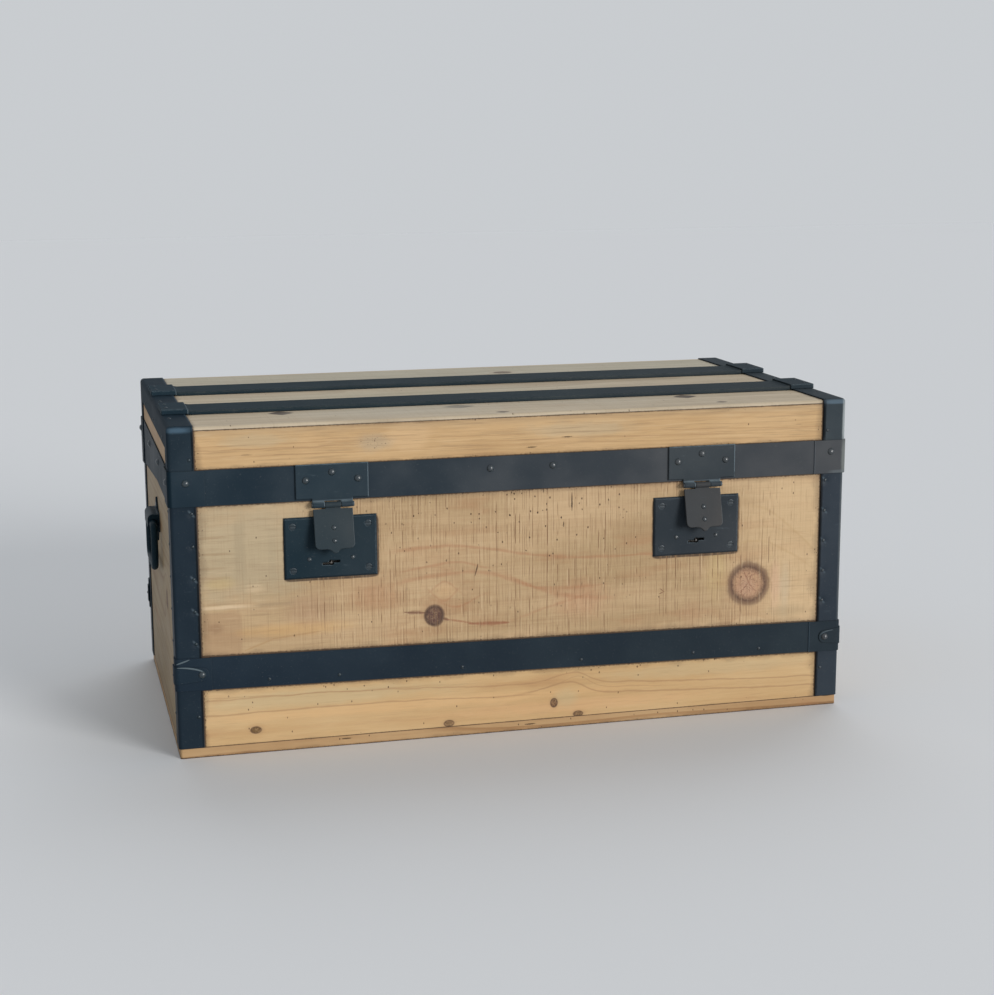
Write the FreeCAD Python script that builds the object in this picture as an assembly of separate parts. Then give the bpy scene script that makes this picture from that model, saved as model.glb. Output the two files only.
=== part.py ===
import FreeCAD, Part
import math
import os
from FreeCAD import Placement, Rotation, Vector

# A small wooden travel trunk: a nailed board case with a hinged lid, bound in
# folded sheet iron, with two hasp locks in front and a drop handle on each end.
# Millimetres. X runs right along the front, Y to the back, Z up, and the origin
# is the middle of the underside.

# Overall sizes, measured over the body's corner irons
LENGTH = 680.0
DEPTH = 364.0
RIM_HEIGHT = 254.0
LID_HEIGHT = 67.0

# Boards
BASE_THICKNESS = 10.0
WALL = 13.0
TOP_BOARD = 3.5
LOWER_BOARD_TOP = 79.0

# Folded corner irons
IRON = 1.2
IRON_LEG = 24.5
IRON_BEND = 3.5
LID_IRON_BEND = 4.0
LID_FLANGE = 23.0
BEND_PLAY = 0.3
LID_PROUD = 0.6

# Band round the lid's lower edge, which laps down over the rim; like the straps
# it rides over the corner irons and is pressed in to the boards between them
BAND = 1.2
LAP = 9.0
SEAM_LAP = 8.0
SEAM_RISE = 26.0
SEAM_RETURN = 20.0
SIDE_BAND_BEND_Y = -35.0
SIDE_BAND_DROP = 16.0
BACK_BAND_LIFT = 4.0
BACK_RETURN = 7.0

# Straps across the front and back, which slope a little as the old ones do
STRAP_MIDDLE = 78.9
STRAP_WIDTH = 31.8
STRAP_SLOPE = 0.8
STRAP_RETURN = 12.0
CLIP = 1.0
CLIP_ROOT = 18.0
CLIP_TIP_RADIUS = 6.5
CLIP_NAIL_INSETS = (24.5, 16.5)
CLIP_RETURN = 14.0

# Slats on the lid and the pressed clamps over their ends
SLAT_THICKNESS = 4.0
SLAT_WIDTH = 48.0
SLAT_EDGE_ROUND = 1.2
SLAT_RISE = 7.0
SLAT_END_GAP = 2.0
FRONT_SLAT_Y = -80.0
REAR_SLAT_Y = 57.0
CLAMP = 1.0
CLAMP_LENGTH = 25.6

# Lock plates and the cases let into the front wall behind them
LOCKS = {"left": -189.2, "right": 181.1}
LOCK_PLATE_WIDTH = 90.0
LOCK_PLATE_HEIGHT = 60.0
LOCK_PLATE_DROP = 84.0
LOCK_PLATE = 2.0
LOCK_PLATE_BEVEL = 1.4
LOCK_SCREW_INSET = 8.5
LOCK_RIVET_SPACING = 42.0
LOCK_RIVET_HEIGHT = 18.9
KEYHOLE_HEIGHT = 14.6
KEYHOLE_WING = 7.2
KEYHOLE_WING_HEIGHT = 2.4
KEYHOLE_WING_RAISE = 0.9
KEYHOLE_EYE_RADIUS = 2.6
KEY_PIN_RADIUS = 1.0
CASE_WIDTH = 62.0
CASE_HEIGHT = 45.0
CASE_BELOW_AXIS = 16.5
CASE_SHEET = 1.2
CASE_BACKING = 4.0
CASE_PLAY = 0.3
POST_RADIUS = 3.0

# Sliding lock bolt
BOLT_THICKNESS = 1.8
BOLT_HEIGHT = 4.4
BOLT_LENGTH = 20.0
BOLT_TIP_OFFSET = 3.0
BOLT_PLAY = 0.3
GUIDE_PLAY = 0.1
GUIDE_START = 8.0
GUIDE_LENGTH = 12.0
GUIDE_WALL = 2.5

# Hasps: a fixed plate on the lid's band, a flap on a pin, and a riveted staple
HASPS = {"left": -187.0, "right": 185.6}
HASP_SHEET = 1.6
HASP_PLATE_WIDTH = 70.0
HASP_PLATE_LAP = 6.4
HASP_PLATE_HEIGHT = 33.4
HASP_AXIS_DROP = 12.0
HASP_AXIS_OUT = 3.6
HASP_KNUCKLE_RADIUS = 2.8
HASP_PIN_RADIUS = 1.5
HASP_WIDTH = 39.0
HASP_MIDDLE_KNUCKLE = 15.0
HASP_REST = 15.5
PIN_PLAY = 0.05
KNUCKLE_GAP = 0.4
FLAP_WIDTH = 38.0
FLAP_TOP = 4.0
FLAP_SHOULDER = 42.5
FLAP_TIP = 46.6
FLAP_CORNER = 5.0
FLAP_TIP_HALF = 8.0
STAPLE_THICKNESS = 3.0
STAPLE_SHANK_RADIUS = 1.3
STAPLE_UPPER_LEG = 22.0
STAPLE_LOWER_LEG = 34.6
STAPLE_CROWN = 2.2
STAPLE_CROWN_TOP = 25.5
STAPLE_EYE_MIDDLE = 30.0
STAPLE_CROWN_BOTTOM = 34.2
SLOT_SIDE_PLAY = 0.5
SLOT_END_PLAY = 0.9

# Lid hinges on the back
HINGE_X = 200.0
HINGE_WIDTH = 64.0
HINGE_SHEET = 1.6
HINGE_KNUCKLE_RADIUS = 3.2
HINGE_PIN_RADIUS = 2.0
HINGE_MIDDLE_KNUCKLE = 23.0
HINGE_LEAF_DROP = 34.0
HINGE_LEAF_RISE = 24.0

# Drop handles on the ends
HANDLE_PLATE = 2.0
HANDLE_AXIS_DROP = 54.5
HANDLE_AXIS_OUT = 7.2
HANDLE_HUMP_WIDTH = 44.0
HANDLE_HUMP_HALF = 9.2
HANDLE_HUMP_OUT = 12.2
HANDLE_PLATE_HALF = 24.0
SPEAR_REACH = 23.0
SPEAR_NECK_HALF = 5.0
SPEAR_SHOULDER_HALF = 10.0
BAIL_ROD_RADIUS = 3.5
BAIL_HALF_WIDTH = 38.0
BAIL_DROP = 44.0
BAIL_TOP_CORNER = 8.0
BAIL_BOTTOM_CORNER = 12.0
HANDLE_SCREW_OUT = 14.5

# Fasteners: head radius, head height, shank radius and shank length
DOME_NAIL = (3.6, 2.4, 1.0, 10.5)
TACK = (1.7, 0.8, 0.7, 6.0)
LOCK_RIVET = (2.2, 1.2, 1.2, 7.0)
HASP_RIVET = (2.5, 1.3)
SCREW = (3.1, 2.0, 1.5, 10.0)
SCREW_SLOT_WIDTH = 0.9
SCREW_SLOT_DEPTH = 0.7
TACK_INSET = 20.0
TACK_TOP_GAP = 15.0
TACK_STRAP_GAP = 13.5
TACKS_ABOVE_STRAP = 5
LOWEST_TACK = 41.0
STRAP_TACK_SHARES = (-0.37, -0.27, -0.09, 0.09, 0.265, 0.37)
STRAP_TACK_DROP = 9.0
SEAM_CORNER_NAIL = 16.0
SEAM_MIDDLE_NAIL = 31.5
SEAM_NAIL_RISE = 14.5
SIDE_CORNER_NAIL = 11.0
SIDE_MIDDLE_NAIL = 58.0
CLIP_TACK_INSET = 7.0
HASP_NAIL_SPACING = 50.0
HASP_NAIL_RISE = 11.8
HASP_MIDDLE_NAIL_RISE = 19.0

# Places that follow from the sizes above
WOOD_X = LENGTH / 2 - IRON
WOOD_Y = DEPTH / 2 - IRON
WOOD_CORNER = IRON_BEND - IRON + BEND_PLAY
LID_WOOD_X = WOOD_X + LID_PROUD
LID_WOOD_Y = WOOD_Y + LID_PROUD
LID_IRON_X = LID_WOOD_X + IRON
LID_IRON_Y = LID_WOOD_Y + IRON
LID_TOP = RIM_HEIGHT + LID_HEIGHT
BAND_X = LID_IRON_X + BAND
BAND_Y = LID_IRON_Y + BAND
SEAT_X = LID_WOOD_X + BAND
SEAT_Y = LID_WOOD_Y + BAND
SEAM_BAND_LOW = RIM_HEIGHT - SEAM_LAP
SEAM_BAND_HIGH = RIM_HEIGHT + SEAM_RISE
CLIP_NAIL_X = (CLIP_NAIL_INSETS[0] - LENGTH / 2, LENGTH / 2 - CLIP_NAIL_INSETS[1])
LOCK_PLATE_LOW = RIM_HEIGHT - LOCK_PLATE_DROP
HASP_PLATE_LOW = RIM_HEIGHT - HASP_PLATE_LAP
HASP_AXIS_HEIGHT = RIM_HEIGHT - HASP_AXIS_DROP
HANDLE_AXIS_HEIGHT = RIM_HEIGHT - HANDLE_AXIS_DROP
HASP_AXIS = Vector(0, -(SEAT_Y + HASP_AXIS_OUT), HASP_AXIS_HEIGHT)
HINGE_AXIS = Vector(0, SEAT_Y + HINGE_KNUCKLE_RADIUS, RIM_HEIGHT)
PLATE_BACK = -WOOD_Y - HASP_AXIS.y
PLATE_FRONT = PLATE_BACK - LOCK_PLATE
STAPLE_TIP = PLATE_BACK + 2 * BOLT_PLAY + BOLT_THICKNESS + STAPLE_CROWN
SLOT_TOP = STAPLE_UPPER_LEG - STAPLE_THICKNESS / 2 - SLOT_END_PLAY
SLOT_BOTTOM = STAPLE_LOWER_LEG + STAPLE_THICKNESS / 2 + SLOT_END_PLAY
CASE_DEPTH = WALL - CASE_BACKING


def block(x, y, z):
    """A box between three pairs of low and high values."""
    solid = Part.makeBox(x[1] - x[0], y[1] - y[0], z[1] - z[0])
    solid.translate(Vector(x[0], y[0], z[0]))
    return solid


def span(first, second):
    """Two values in rising order."""
    return (min(first, second), max(first, second))


def rod(radius, start, finish):
    """A round bar from one point to another."""
    along = finish - start
    return Part.makeCylinder(radius, along.Length, start, along)


def upright_block(half_x, half_y, z, radius):
    """A centred box whose four upright edges are rounded."""
    solid = block((-half_x, half_x), (-half_y, half_y), z)
    uprights = [edge for edge in solid.Edges if edge.BoundBox.ZLength > edge.BoundBox.XLength + edge.BoundBox.YLength]
    return solid.makeFillet(radius, uprights)


def lid_block(half_x, half_y, z, radius):
    """A centred box rounded on its upright edges and round its top."""
    solid = block((-half_x, half_x), (-half_y, half_y), z)
    reach_top = [edge for edge in solid.Edges if edge.BoundBox.ZMax > z[1] - radius]
    return solid.makeFillet(radius, reach_top)


def outline_face(points, place):
    """A flat face through corner points; a three-point entry is an arc through its middle point."""
    edges = []
    last = None
    for entry in points:
        stops = [place(*stop) for stop in entry] if isinstance(entry[0], tuple) else [place(*entry)]
        if last is not None and len(stops) == 1:
            edges.append(Part.makeLine(last, stops[0]))
        if len(stops) == 3:
            if last is not None:
                edges.append(Part.makeLine(last, stops[0]))
            edges.append(Part.Arc(*stops).toShape())
        last = stops[-1]
    first = edges[0].Vertexes[0].Point
    if (last - first).Length > 1e-6:
        edges.append(Part.makeLine(last, first))
    return Part.Face(Part.Wire(edges))


def headed(head_radius, head_height, shank_radius, shank_length):
    """A nail on z = 0: a domed head above, a straight shank below."""
    ball = (head_radius ** 2 + head_height ** 2) / (2 * head_height)
    half_angle = math.asin(head_radius / ball) / 2
    dome = (
        (head_radius, 0),
        (ball * math.sin(half_angle), head_height - ball + ball * math.cos(half_angle)),
        (0, head_height),
    )
    profile = [(0, -shank_length), (shank_radius, -shank_length), (shank_radius, 0), dome]
    face = outline_face(profile, lambda r, z: Vector(r, 0, z))
    return face.revolve(Vector(0, 0, 0), Vector(0, 0, 1), 360)


def wood_screw():
    """A slotted screw, its countersunk head flush with z = 0."""
    head_radius, head_depth, shank_radius, length = SCREW
    profile = [(0, -length), (shank_radius, -length), (shank_radius, -head_depth), (head_radius, 0), (0, 0)]
    face = outline_face(profile, lambda r, z: Vector(r, 0, z))
    body = face.revolve(Vector(0, 0, 0), Vector(0, 0, 1), 360)
    slot = block((-head_radius, head_radius), (-SCREW_SLOT_WIDTH / 2, SCREW_SLOT_WIDTH / 2), (-SCREW_SLOT_DEPTH, 1))
    return body.cut(slot)


def screw_hole():
    """The countersunk hole that a screw fills."""
    head_radius, head_depth, shank_radius, length = SCREW
    profile = [(0, -length), (shank_radius, -length), (shank_radius, -head_depth), (head_radius, 0), (0, 0)]
    return outline_face(profile, lambda r, z: Vector(r, 0, z)).revolve(Vector(0, 0, 0), Vector(0, 0, 1), 360)


def set_at(fastener, places):
    """Copies of a fastener, each turned so that its head faces outward at its place."""
    copies = []
    for place, outward in places:
        copy = fastener.copy()
        copy.Placement = Placement(place, Rotation(Vector(0, 0, 1), outward))
        copies.append(copy)
    return copies


def shanks(kind, places):
    """The straight holes that the shanks of one kind of nail fill."""
    return set_at(Part.makeCylinder(kind[2], kind[3], Vector(0, 0, -kind[3])), places)


def drilled(solid, holes):
    """Cut the holes that reach a piece."""
    near = [hole for hole in holes if solid.BoundBox.intersect(hole.BoundBox)]
    return solid.cut(near) if near else solid


def strap_height(x):
    """Height of the middle of the sloping front strap at a place along it."""
    return STRAP_MIDDLE - x * math.tan(math.radians(STRAP_SLOPE))


FRONT = Vector(0, -1, 0)
BACK = Vector(0, 1, 0)
UP = Vector(0, 0, 1)


def body_tack_places():
    """Tacks near the free edge of both legs of each corner iron where no band hides them, and along the straps."""
    highest = RIM_HEIGHT - TACK_TOP_GAP
    lowest = strap_height(-LENGTH / 2) + STRAP_WIDTH / 2 + TACK_STRAP_GAP
    pitch = (highest - lowest) / (TACKS_ABOVE_STRAP - 1)
    heights = [highest - pitch * count for count in range(TACKS_ABOVE_STRAP)]
    heights.append(LOWEST_TACK)
    places = []
    for side_x in (-1, 1):
        for side_y in (-1, 1):
            for height in heights:
                face_y = Vector(side_x * (LENGTH / 2 - TACK_INSET), side_y * DEPTH / 2, height)
                face_x = Vector(side_x * LENGTH / 2, side_y * (DEPTH / 2 - TACK_INSET), height)
                places.append((face_y, Vector(0, side_y, 0)))
                if side_y < 0 or height < SEAM_BAND_LOW - SIDE_BAND_DROP - TACK[0]:
                    places.append((face_x, Vector(side_x, 0, 0)))
    for x in [LENGTH * share for share in STRAP_TACK_SHARES]:
        places.append((Vector(x, -WOOD_Y - BAND, strap_height(x) - STRAP_TACK_DROP), FRONT))
    for x in CLIP_NAIL_X:
        outward = math.copysign(1, x)
        out = outward * (LENGTH / 2 + BAND + CLIP)
        end = DEPTH / 2 + BAND + CLIP - CLIP_TACK_INSET
        places.append((Vector(out, -end, strap_height(x)), Vector(outward, 0, 0)))
        places.append((Vector(out, end, STRAP_MIDDLE), Vector(outward, 0, 0)))
    return places


def body_nail_places():
    """Domed nails through the clips at the ends of both straps."""
    face = DEPTH / 2 + BAND + CLIP
    places = []
    for x in CLIP_NAIL_X:
        places.append((Vector(x, -face, strap_height(x)), FRONT))
        places.append((Vector(x, face, STRAP_MIDDLE), BACK))
    return places


def lid_nail_places():
    """Domed nails through the seam band and the hasp plates."""
    places = []
    for side in (-1, 1):
        corner_x = side * (LID_IRON_X - SEAM_CORNER_NAIL)
        middle_x = side * SEAM_MIDDLE_NAIL
        for x, out in ((corner_x, BAND_Y), (middle_x, SEAT_Y)):
            places.append((Vector(x, -out, RIM_HEIGHT + SEAM_NAIL_RISE), FRONT))
            places.append((Vector(x, out, RIM_HEIGHT + SEAM_NAIL_RISE), BACK))
        corner_y = LID_IRON_Y - SIDE_CORNER_NAIL
        for y, out in ((corner_y, BAND_X), (SIDE_MIDDLE_NAIL, SEAT_X)):
            places.append((Vector(side * out, -y, RIM_HEIGHT + SEAM_NAIL_RISE), Vector(side, 0, 0)))
            places.append((Vector(side * out, y, RIM_HEIGHT + SEAM_NAIL_RISE), Vector(side, 0, 0)))
    for x in HASPS.values():
        face = -SEAT_Y - HASP_SHEET
        for offset in (-HASP_NAIL_SPACING / 2, HASP_NAIL_SPACING / 2):
            places.append((Vector(x + offset, face, RIM_HEIGHT + HASP_NAIL_RISE), FRONT))
        places.append((Vector(x, face, RIM_HEIGHT + HASP_MIDDLE_NAIL_RISE), FRONT))
    return places


def lid_tack_places():
    """Small tacks through the end irons and the slat clamps."""
    places = []
    leg_x = LID_IRON_X - TACK_INSET
    flange_z = LID_TOP + IRON - LID_FLANGE + TACK[0] * 3
    for side in (-1, 1):
        for side_y in (-1, 1):
            leg_height = SEAM_BAND_HIGH + (LID_TOP - SEAM_BAND_HIGH) / 4
            places.append((Vector(side * leg_x, side_y * LID_IRON_Y, leg_height), Vector(0, side_y, 0)))
        for y in (FRONT_SLAT_Y - SLAT_WIDTH, (FRONT_SLAT_Y + REAR_SLAT_Y) / 2, REAR_SLAT_Y + SLAT_WIDTH):
            places.append((Vector(side * (LID_WOOD_X - WALL / 2), y, LID_TOP + IRON), UP))
            places.append((Vector(side * LID_IRON_X, y, flange_z), Vector(side, 0, 0)))
        for y in (FRONT_SLAT_Y, REAR_SLAT_Y):
            top = LID_TOP + IRON + SLAT_THICKNESS + CLAMP
            for offset in (-SLAT_WIDTH / 4, SLAT_WIDTH / 4):
                places.append((Vector(side * (LID_WOOD_X - WALL / 2), y + offset, top), UP))
    return places


def lock_screw_places():
    """Screws in the corners of both lock plates."""
    places = []
    for x in LOCKS.values():
        for across in (-1, 1):
            for end in (LOCK_SCREW_INSET, LOCK_PLATE_HEIGHT - LOCK_SCREW_INSET):
                offset = across * (LOCK_PLATE_WIDTH / 2 - LOCK_SCREW_INSET)
                places.append((Vector(x + offset, -WOOD_Y - LOCK_PLATE, LOCK_PLATE_LOW + end), FRONT))
    return places


def lock_rivet_places():
    """Rivets that hold each lock case to its plate."""
    places = []
    for x in LOCKS.values():
        for across in (-1, 1):
            height = LOCK_PLATE_LOW + LOCK_RIVET_HEIGHT
            places.append((Vector(x + across * LOCK_RIVET_SPACING / 2, -WOOD_Y - LOCK_PLATE, height), FRONT))
    return places


def handle_screw_places():
    """A screw above and below the hump of each handle plate."""
    places = []
    for side in (-1, 1):
        for rise in (-HANDLE_SCREW_OUT, HANDLE_SCREW_OUT):
            at = Vector(side * (WOOD_X + HANDLE_PLATE), 0, HANDLE_AXIS_HEIGHT + rise)
            places.append((at, Vector(side, 0, 0)))
    return places


def hinge_screw_places(face, height):
    """Three screws in a row in each leaf of the lid hinges."""
    places = []
    for side in (-1, 1):
        for offset in (-HINGE_WIDTH / 3, 0, HINGE_WIDTH / 3):
            places.append((Vector(side * HINGE_X + offset, face, height), BACK))
    return places


def body_boards(holes, pockets):
    """Base and walls: the long walls lap over the ends, and the irons stop on the base."""
    walls = (BASE_THICKNESS, RIM_HEIGHT)
    hollow_y = WOOD_Y - WALL
    case = upright_block(WOOD_X, WOOD_Y, (0, RIM_HEIGHT), WOOD_CORNER)
    whole_x = (-WOOD_X, WOOD_X)
    front = (-WOOD_Y, -hollow_y)
    boards = {
        "base_board": case.common(block(whole_x, (-WOOD_Y, WOOD_Y), (0, BASE_THICKNESS))),
        "front_board_lower": case.common(block(whole_x, front, (BASE_THICKNESS, LOWER_BOARD_TOP))),
        "front_board_upper": case.common(block(whole_x, front, (LOWER_BOARD_TOP, RIM_HEIGHT))),
        "back_board": case.common(block(whole_x, (hollow_y, WOOD_Y), walls)),
        "end_board_left": block((-WOOD_X, -WOOD_X + WALL), (-hollow_y, hollow_y), walls),
        "end_board_right": block((WOOD_X - WALL, WOOD_X), (-hollow_y, hollow_y), walls),
    }
    boards["front_board_upper"] = boards["front_board_upper"].cut(pockets)
    return {name: drilled(board, holes) for name, board in boards.items()}


def corner_irons(holes):
    """Four folded angles up the corners of the body."""
    z = (BASE_THICKNESS, RIM_HEIGHT)
    sleeve = upright_block(LENGTH / 2, DEPTH / 2, z, IRON_BEND)
    sleeve = sleeve.cut(upright_block(WOOD_X, WOOD_Y, z, IRON_BEND - IRON))
    irons = {}
    for name_y, side_y in (("front", -1), ("back", 1)):
        for name_x, side_x in (("left", -1), ("right", 1)):
            x = span(side_x * LENGTH / 2, side_x * (LENGTH / 2 - IRON_LEG))
            y = span(side_y * DEPTH / 2, side_y * (DEPTH / 2 - IRON_LEG))
            iron = sleeve.common(block(x, y, z))
            irons[f"corner_iron_{name_y}_{name_x}"] = drilled(iron, holes)
    return irons


def hoop(half_x, half_y, bend, sheet, z):
    """A closed hoop of sheet lying round a rounded rectangle."""
    outside = upright_block(half_x + sheet, half_y + sheet, z, bend + sheet)
    return outside.cut(upright_block(half_x, half_y, z, bend))


def lapped_hoop(half_x, half_y, bend, z):
    """A band round a board case: raised over the corner irons, seated on the boards between them."""
    whole = hoop(half_x, half_y, bend - IRON, IRON + BAND, z)
    over_x = half_x + IRON - IRON_LEG - LAP
    over_y = half_y + IRON - IRON_LEG - LAP
    covered = upright_block(half_x + IRON, half_y + IRON, z, bend)
    hollows = []
    for side_x in (-1, 1):
        for side_y in (-1, 1):
            x = span(side_x * (over_x + BAND), side_x * (half_x + IRON))
            y = span(side_y * (over_y + BAND), side_y * (half_y + IRON))
            hollows.append(covered.common(block(x, y, z)))
    outer_skin = hoop(half_x + BAND, half_y + BAND, bend - IRON + BAND, IRON, z)
    far_x = half_x + IRON + BAND
    far_y = half_y + IRON + BAND
    long_middle = block((-over_x, over_x), (-far_y, far_y), z)
    short_middle = block((-far_x, far_x), (-over_y, over_y), z)
    return whole.cut([*hollows, outer_skin.common(long_middle), outer_skin.common(short_middle)])


def straps(holes):
    """The straps across the front and back, their ends turned round the corners."""
    ring = lapped_hoop(WOOD_X, WOOD_Y, IRON_BEND, (BASE_THICKNESS, RIM_HEIGHT))
    reach = DEPTH / 2 + BAND
    pieces = {}
    for name, side, slope in (("lower_band_front", -1, STRAP_SLOPE), ("lower_band_back", 1, 0)):
        z = (STRAP_MIDDLE - STRAP_WIDTH / 2, STRAP_MIDDLE + STRAP_WIDTH / 2)
        strap = block((-LENGTH, LENGTH), span(side * reach, side * (reach - STRAP_RETURN)), z)
        strap.rotate(Vector(0, 0, STRAP_MIDDLE), Vector(0, 1, 0), slope)
        pieces[name] = drilled(ring.common(strap), holes)
    return pieces


def strap_clips(holes):
    """Pressed tongues over the strap ends, each rounded about its nail."""
    ring = hoop(LENGTH / 2 + BAND, DEPTH / 2 + BAND, IRON_BEND + BAND, CLIP, (BASE_THICKNESS, RIM_HEIGHT))
    reach = DEPTH / 2 + BAND + CLIP
    clips = []
    for side_y in (-1, 1):
        for nail in CLIP_NAIL_X:
            side_x = math.copysign(1, nail)
            root = side_x * (LENGTH / 2 + BAND + 2 * CLIP)
            middle = strap_height(nail) if side_y < 0 else STRAP_MIDDLE
            half = CLIP_ROOT / 2
            tip = ((nail, -CLIP_TIP_RADIUS), (nail - side_x * CLIP_TIP_RADIUS, 0), (nail, CLIP_TIP_RADIUS))
            start = side_y * (reach - CLIP_RETURN)
            face = outline_face([(root, -half), tip, (root, half)], lambda x, z: Vector(x, start, middle + z))
            tongue = face.extrude(Vector(0, side_y * CLIP_RETURN, 0))
            clips.append(drilled(ring.common(tongue), holes))
    return clips


def lock_plate(plate_x, hasp_x, holes):
    """A bevelled plate with a staple slot and a keyhole like a lazy S."""
    half = LOCK_PLATE_WIDTH / 2
    front = -WOOD_Y - LOCK_PLATE
    z = (LOCK_PLATE_LOW, LOCK_PLATE_LOW + LOCK_PLATE_HEIGHT)
    plate = block((plate_x - half, plate_x + half), (front, -WOOD_Y), z)
    rim = [edge for edge in plate.Edges if edge.BoundBox.YMax < front + LOCK_PLATE / 4]
    plate = plate.makeChamfer(LOCK_PLATE_BEVEL, rim)
    slot_half = STAPLE_THICKNESS / 2 + SLOT_SIDE_PLAY
    through = (front - 1, -WOOD_Y + 1)
    slot_z = (HASP_AXIS_HEIGHT - SLOT_BOTTOM, HASP_AXIS_HEIGHT - SLOT_TOP)
    cuts = [block((hasp_x - slot_half, hasp_x + slot_half), through, slot_z)]
    key = Vector(plate_x, front - 1, LOCK_PLATE_LOW + KEYHOLE_HEIGHT)
    cuts.append(rod(KEYHOLE_EYE_RADIUS, key, key + Vector(0, LOCK_PLATE + 2, 0)))
    for side in (-1, 1):
        wing_x = span(plate_x, plate_x + side * (KEYHOLE_WING + KEYHOLE_EYE_RADIUS / 2))
        low = key.z + side * KEYHOLE_WING_RAISE - KEYHOLE_WING_HEIGHT / 2
        cuts.append(block(wing_x, through, (low, low + KEYHOLE_WING_HEIGHT)))
    return drilled(plate.cut(cuts), holes)


def case_box(plate_x):
    """Width and height of a lock case, as pairs."""
    top = HASP_AXIS_HEIGHT - CASE_BELOW_AXIS
    return (plate_x - CASE_WIDTH / 2, plate_x + CASE_WIDTH / 2), (top - CASE_HEIGHT, top)


def lock_pocket(plate_x):
    """The pocket in the front wall that a lock case drops into."""
    x, z = case_box(plate_x)
    deep = -WOOD_Y + CASE_DEPTH + CASE_PLAY
    return block((x[0] - CASE_PLAY, x[1] + CASE_PLAY), (-WOOD_Y, deep), (z[0] - CASE_PLAY, z[1] + CASE_PLAY))


def lock_case(plate_x, hasp_x, rivets):
    """A shallow sheet case open to its plate, with rivet posts, a key pin and a bolt guide."""
    x, z = case_box(plate_x)
    back = -WOOD_Y + CASE_DEPTH
    floor = back - CASE_SHEET
    box = block(x, (-WOOD_Y, back), z)
    inside_x = (x[0] + CASE_SHEET, x[1] - CASE_SHEET)
    inside_z = (z[0] + CASE_SHEET, z[1] - CASE_SHEET)
    box = box.cut(block(inside_x, (-WOOD_Y, floor), inside_z))
    parts = []
    for across in (-1, 1):
        foot = Vector(plate_x + across * LOCK_RIVET_SPACING / 2, floor, LOCK_PLATE_LOW + LOCK_RIVET_HEIGHT)
        parts.append(rod(POST_RADIUS, foot, Vector(foot.x, -WOOD_Y, foot.z)))
    pin = Vector(plate_x, floor, LOCK_PLATE_LOW + KEYHOLE_HEIGHT)
    parts.append(rod(KEY_PIN_RADIUS, pin, Vector(pin.x, -WOOD_Y - LOCK_PLATE, pin.z)))
    middle = HASP_AXIS_HEIGHT - STAPLE_EYE_MIDDLE
    half = BOLT_HEIGHT / 2
    guide_x = (hasp_x + GUIDE_START, hasp_x + GUIDE_START + GUIDE_LENGTH)
    guide_half = half + GUIDE_PLAY + GUIDE_WALL
    bolt_front = -WOOD_Y + BOLT_PLAY
    guide = block(guide_x, (bolt_front, floor), (middle - guide_half, middle + guide_half))
    bolt_back = bolt_front + BOLT_THICKNESS + GUIDE_PLAY
    channel = (middle - half - GUIDE_PLAY, middle + half + GUIDE_PLAY)
    parts.append(guide.cut(block(guide_x, (bolt_front, bolt_back), channel)))
    return drilled(box.fuse(parts).removeSplitter(), rivets)


def lock_bolt(hasp_x):
    """The flat bolt, drawn back clear of the staple."""
    middle = HASP_AXIS_HEIGHT - STAPLE_EYE_MIDDLE
    front = -WOOD_Y + BOLT_PLAY
    x = (hasp_x + BOLT_TIP_OFFSET, hasp_x + BOLT_TIP_OFFSET + BOLT_LENGTH)
    return block(x, (front, front + BOLT_THICKNESS), (middle - BOLT_HEIGHT / 2, middle + BOLT_HEIGHT / 2))


def knuckle(axis, radius, bore, start, length):
    """One rolled knuckle of a hinge along X."""
    at = Vector(start, axis.y, axis.z)
    barrel = Part.makeCylinder(radius, length, at, Vector(1, 0, 0))
    return barrel.cut(Part.makeCylinder(bore, length, at, Vector(1, 0, 0)))


def outer_knuckles(middle_x, width, middle_width, gap):
    """Start and length of the two outer knuckles either side of the middle one."""
    length = (width - middle_width) / 2 - gap
    return ((middle_x - width / 2, length), (middle_x + width / 2 - length, length))


def hasp_plate(hasp_x, holes):
    """The plate on the lid, its tongue rolled into the two outer knuckles."""
    y = (-SEAT_Y - HASP_SHEET, -SEAT_Y)
    half = HASP_PLATE_WIDTH / 2
    plate = block((hasp_x - half, hasp_x + half), y, (HASP_PLATE_LOW, HASP_PLATE_LOW + HASP_PLATE_HEIGHT))
    bore = HASP_PIN_RADIUS + PIN_PLAY
    tongue = block((hasp_x - HASP_WIDTH / 2, hasp_x + HASP_WIDTH / 2), y, (HASP_AXIS.z, HASP_PLATE_LOW + 1))
    clear = HASP_MIDDLE_KNUCKLE / 2 + KNUCKLE_GAP
    notch_top = HASP_AXIS.z + HASP_KNUCKLE_RADIUS + KNUCKLE_GAP
    notch = block((hasp_x - clear, hasp_x + clear), (y[0] - 1, y[1] + 1), (HASP_AXIS.z - 1, notch_top))
    rolled = [tongue.cut(notch)]
    for start, length in outer_knuckles(hasp_x, HASP_WIDTH, HASP_MIDDLE_KNUCKLE, KNUCKLE_GAP):
        rolled.append(knuckle(HASP_AXIS, HASP_KNUCKLE_RADIUS, bore, start, length))
    whole = plate.fuse(rolled).removeSplitter()
    start = Vector(hasp_x - HASP_WIDTH, HASP_AXIS.y, HASP_AXIS.z)
    whole = whole.cut(Part.makeCylinder(bore, HASP_WIDTH * 2, start, Vector(1, 0, 0)))
    return drilled(whole, holes)


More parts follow.
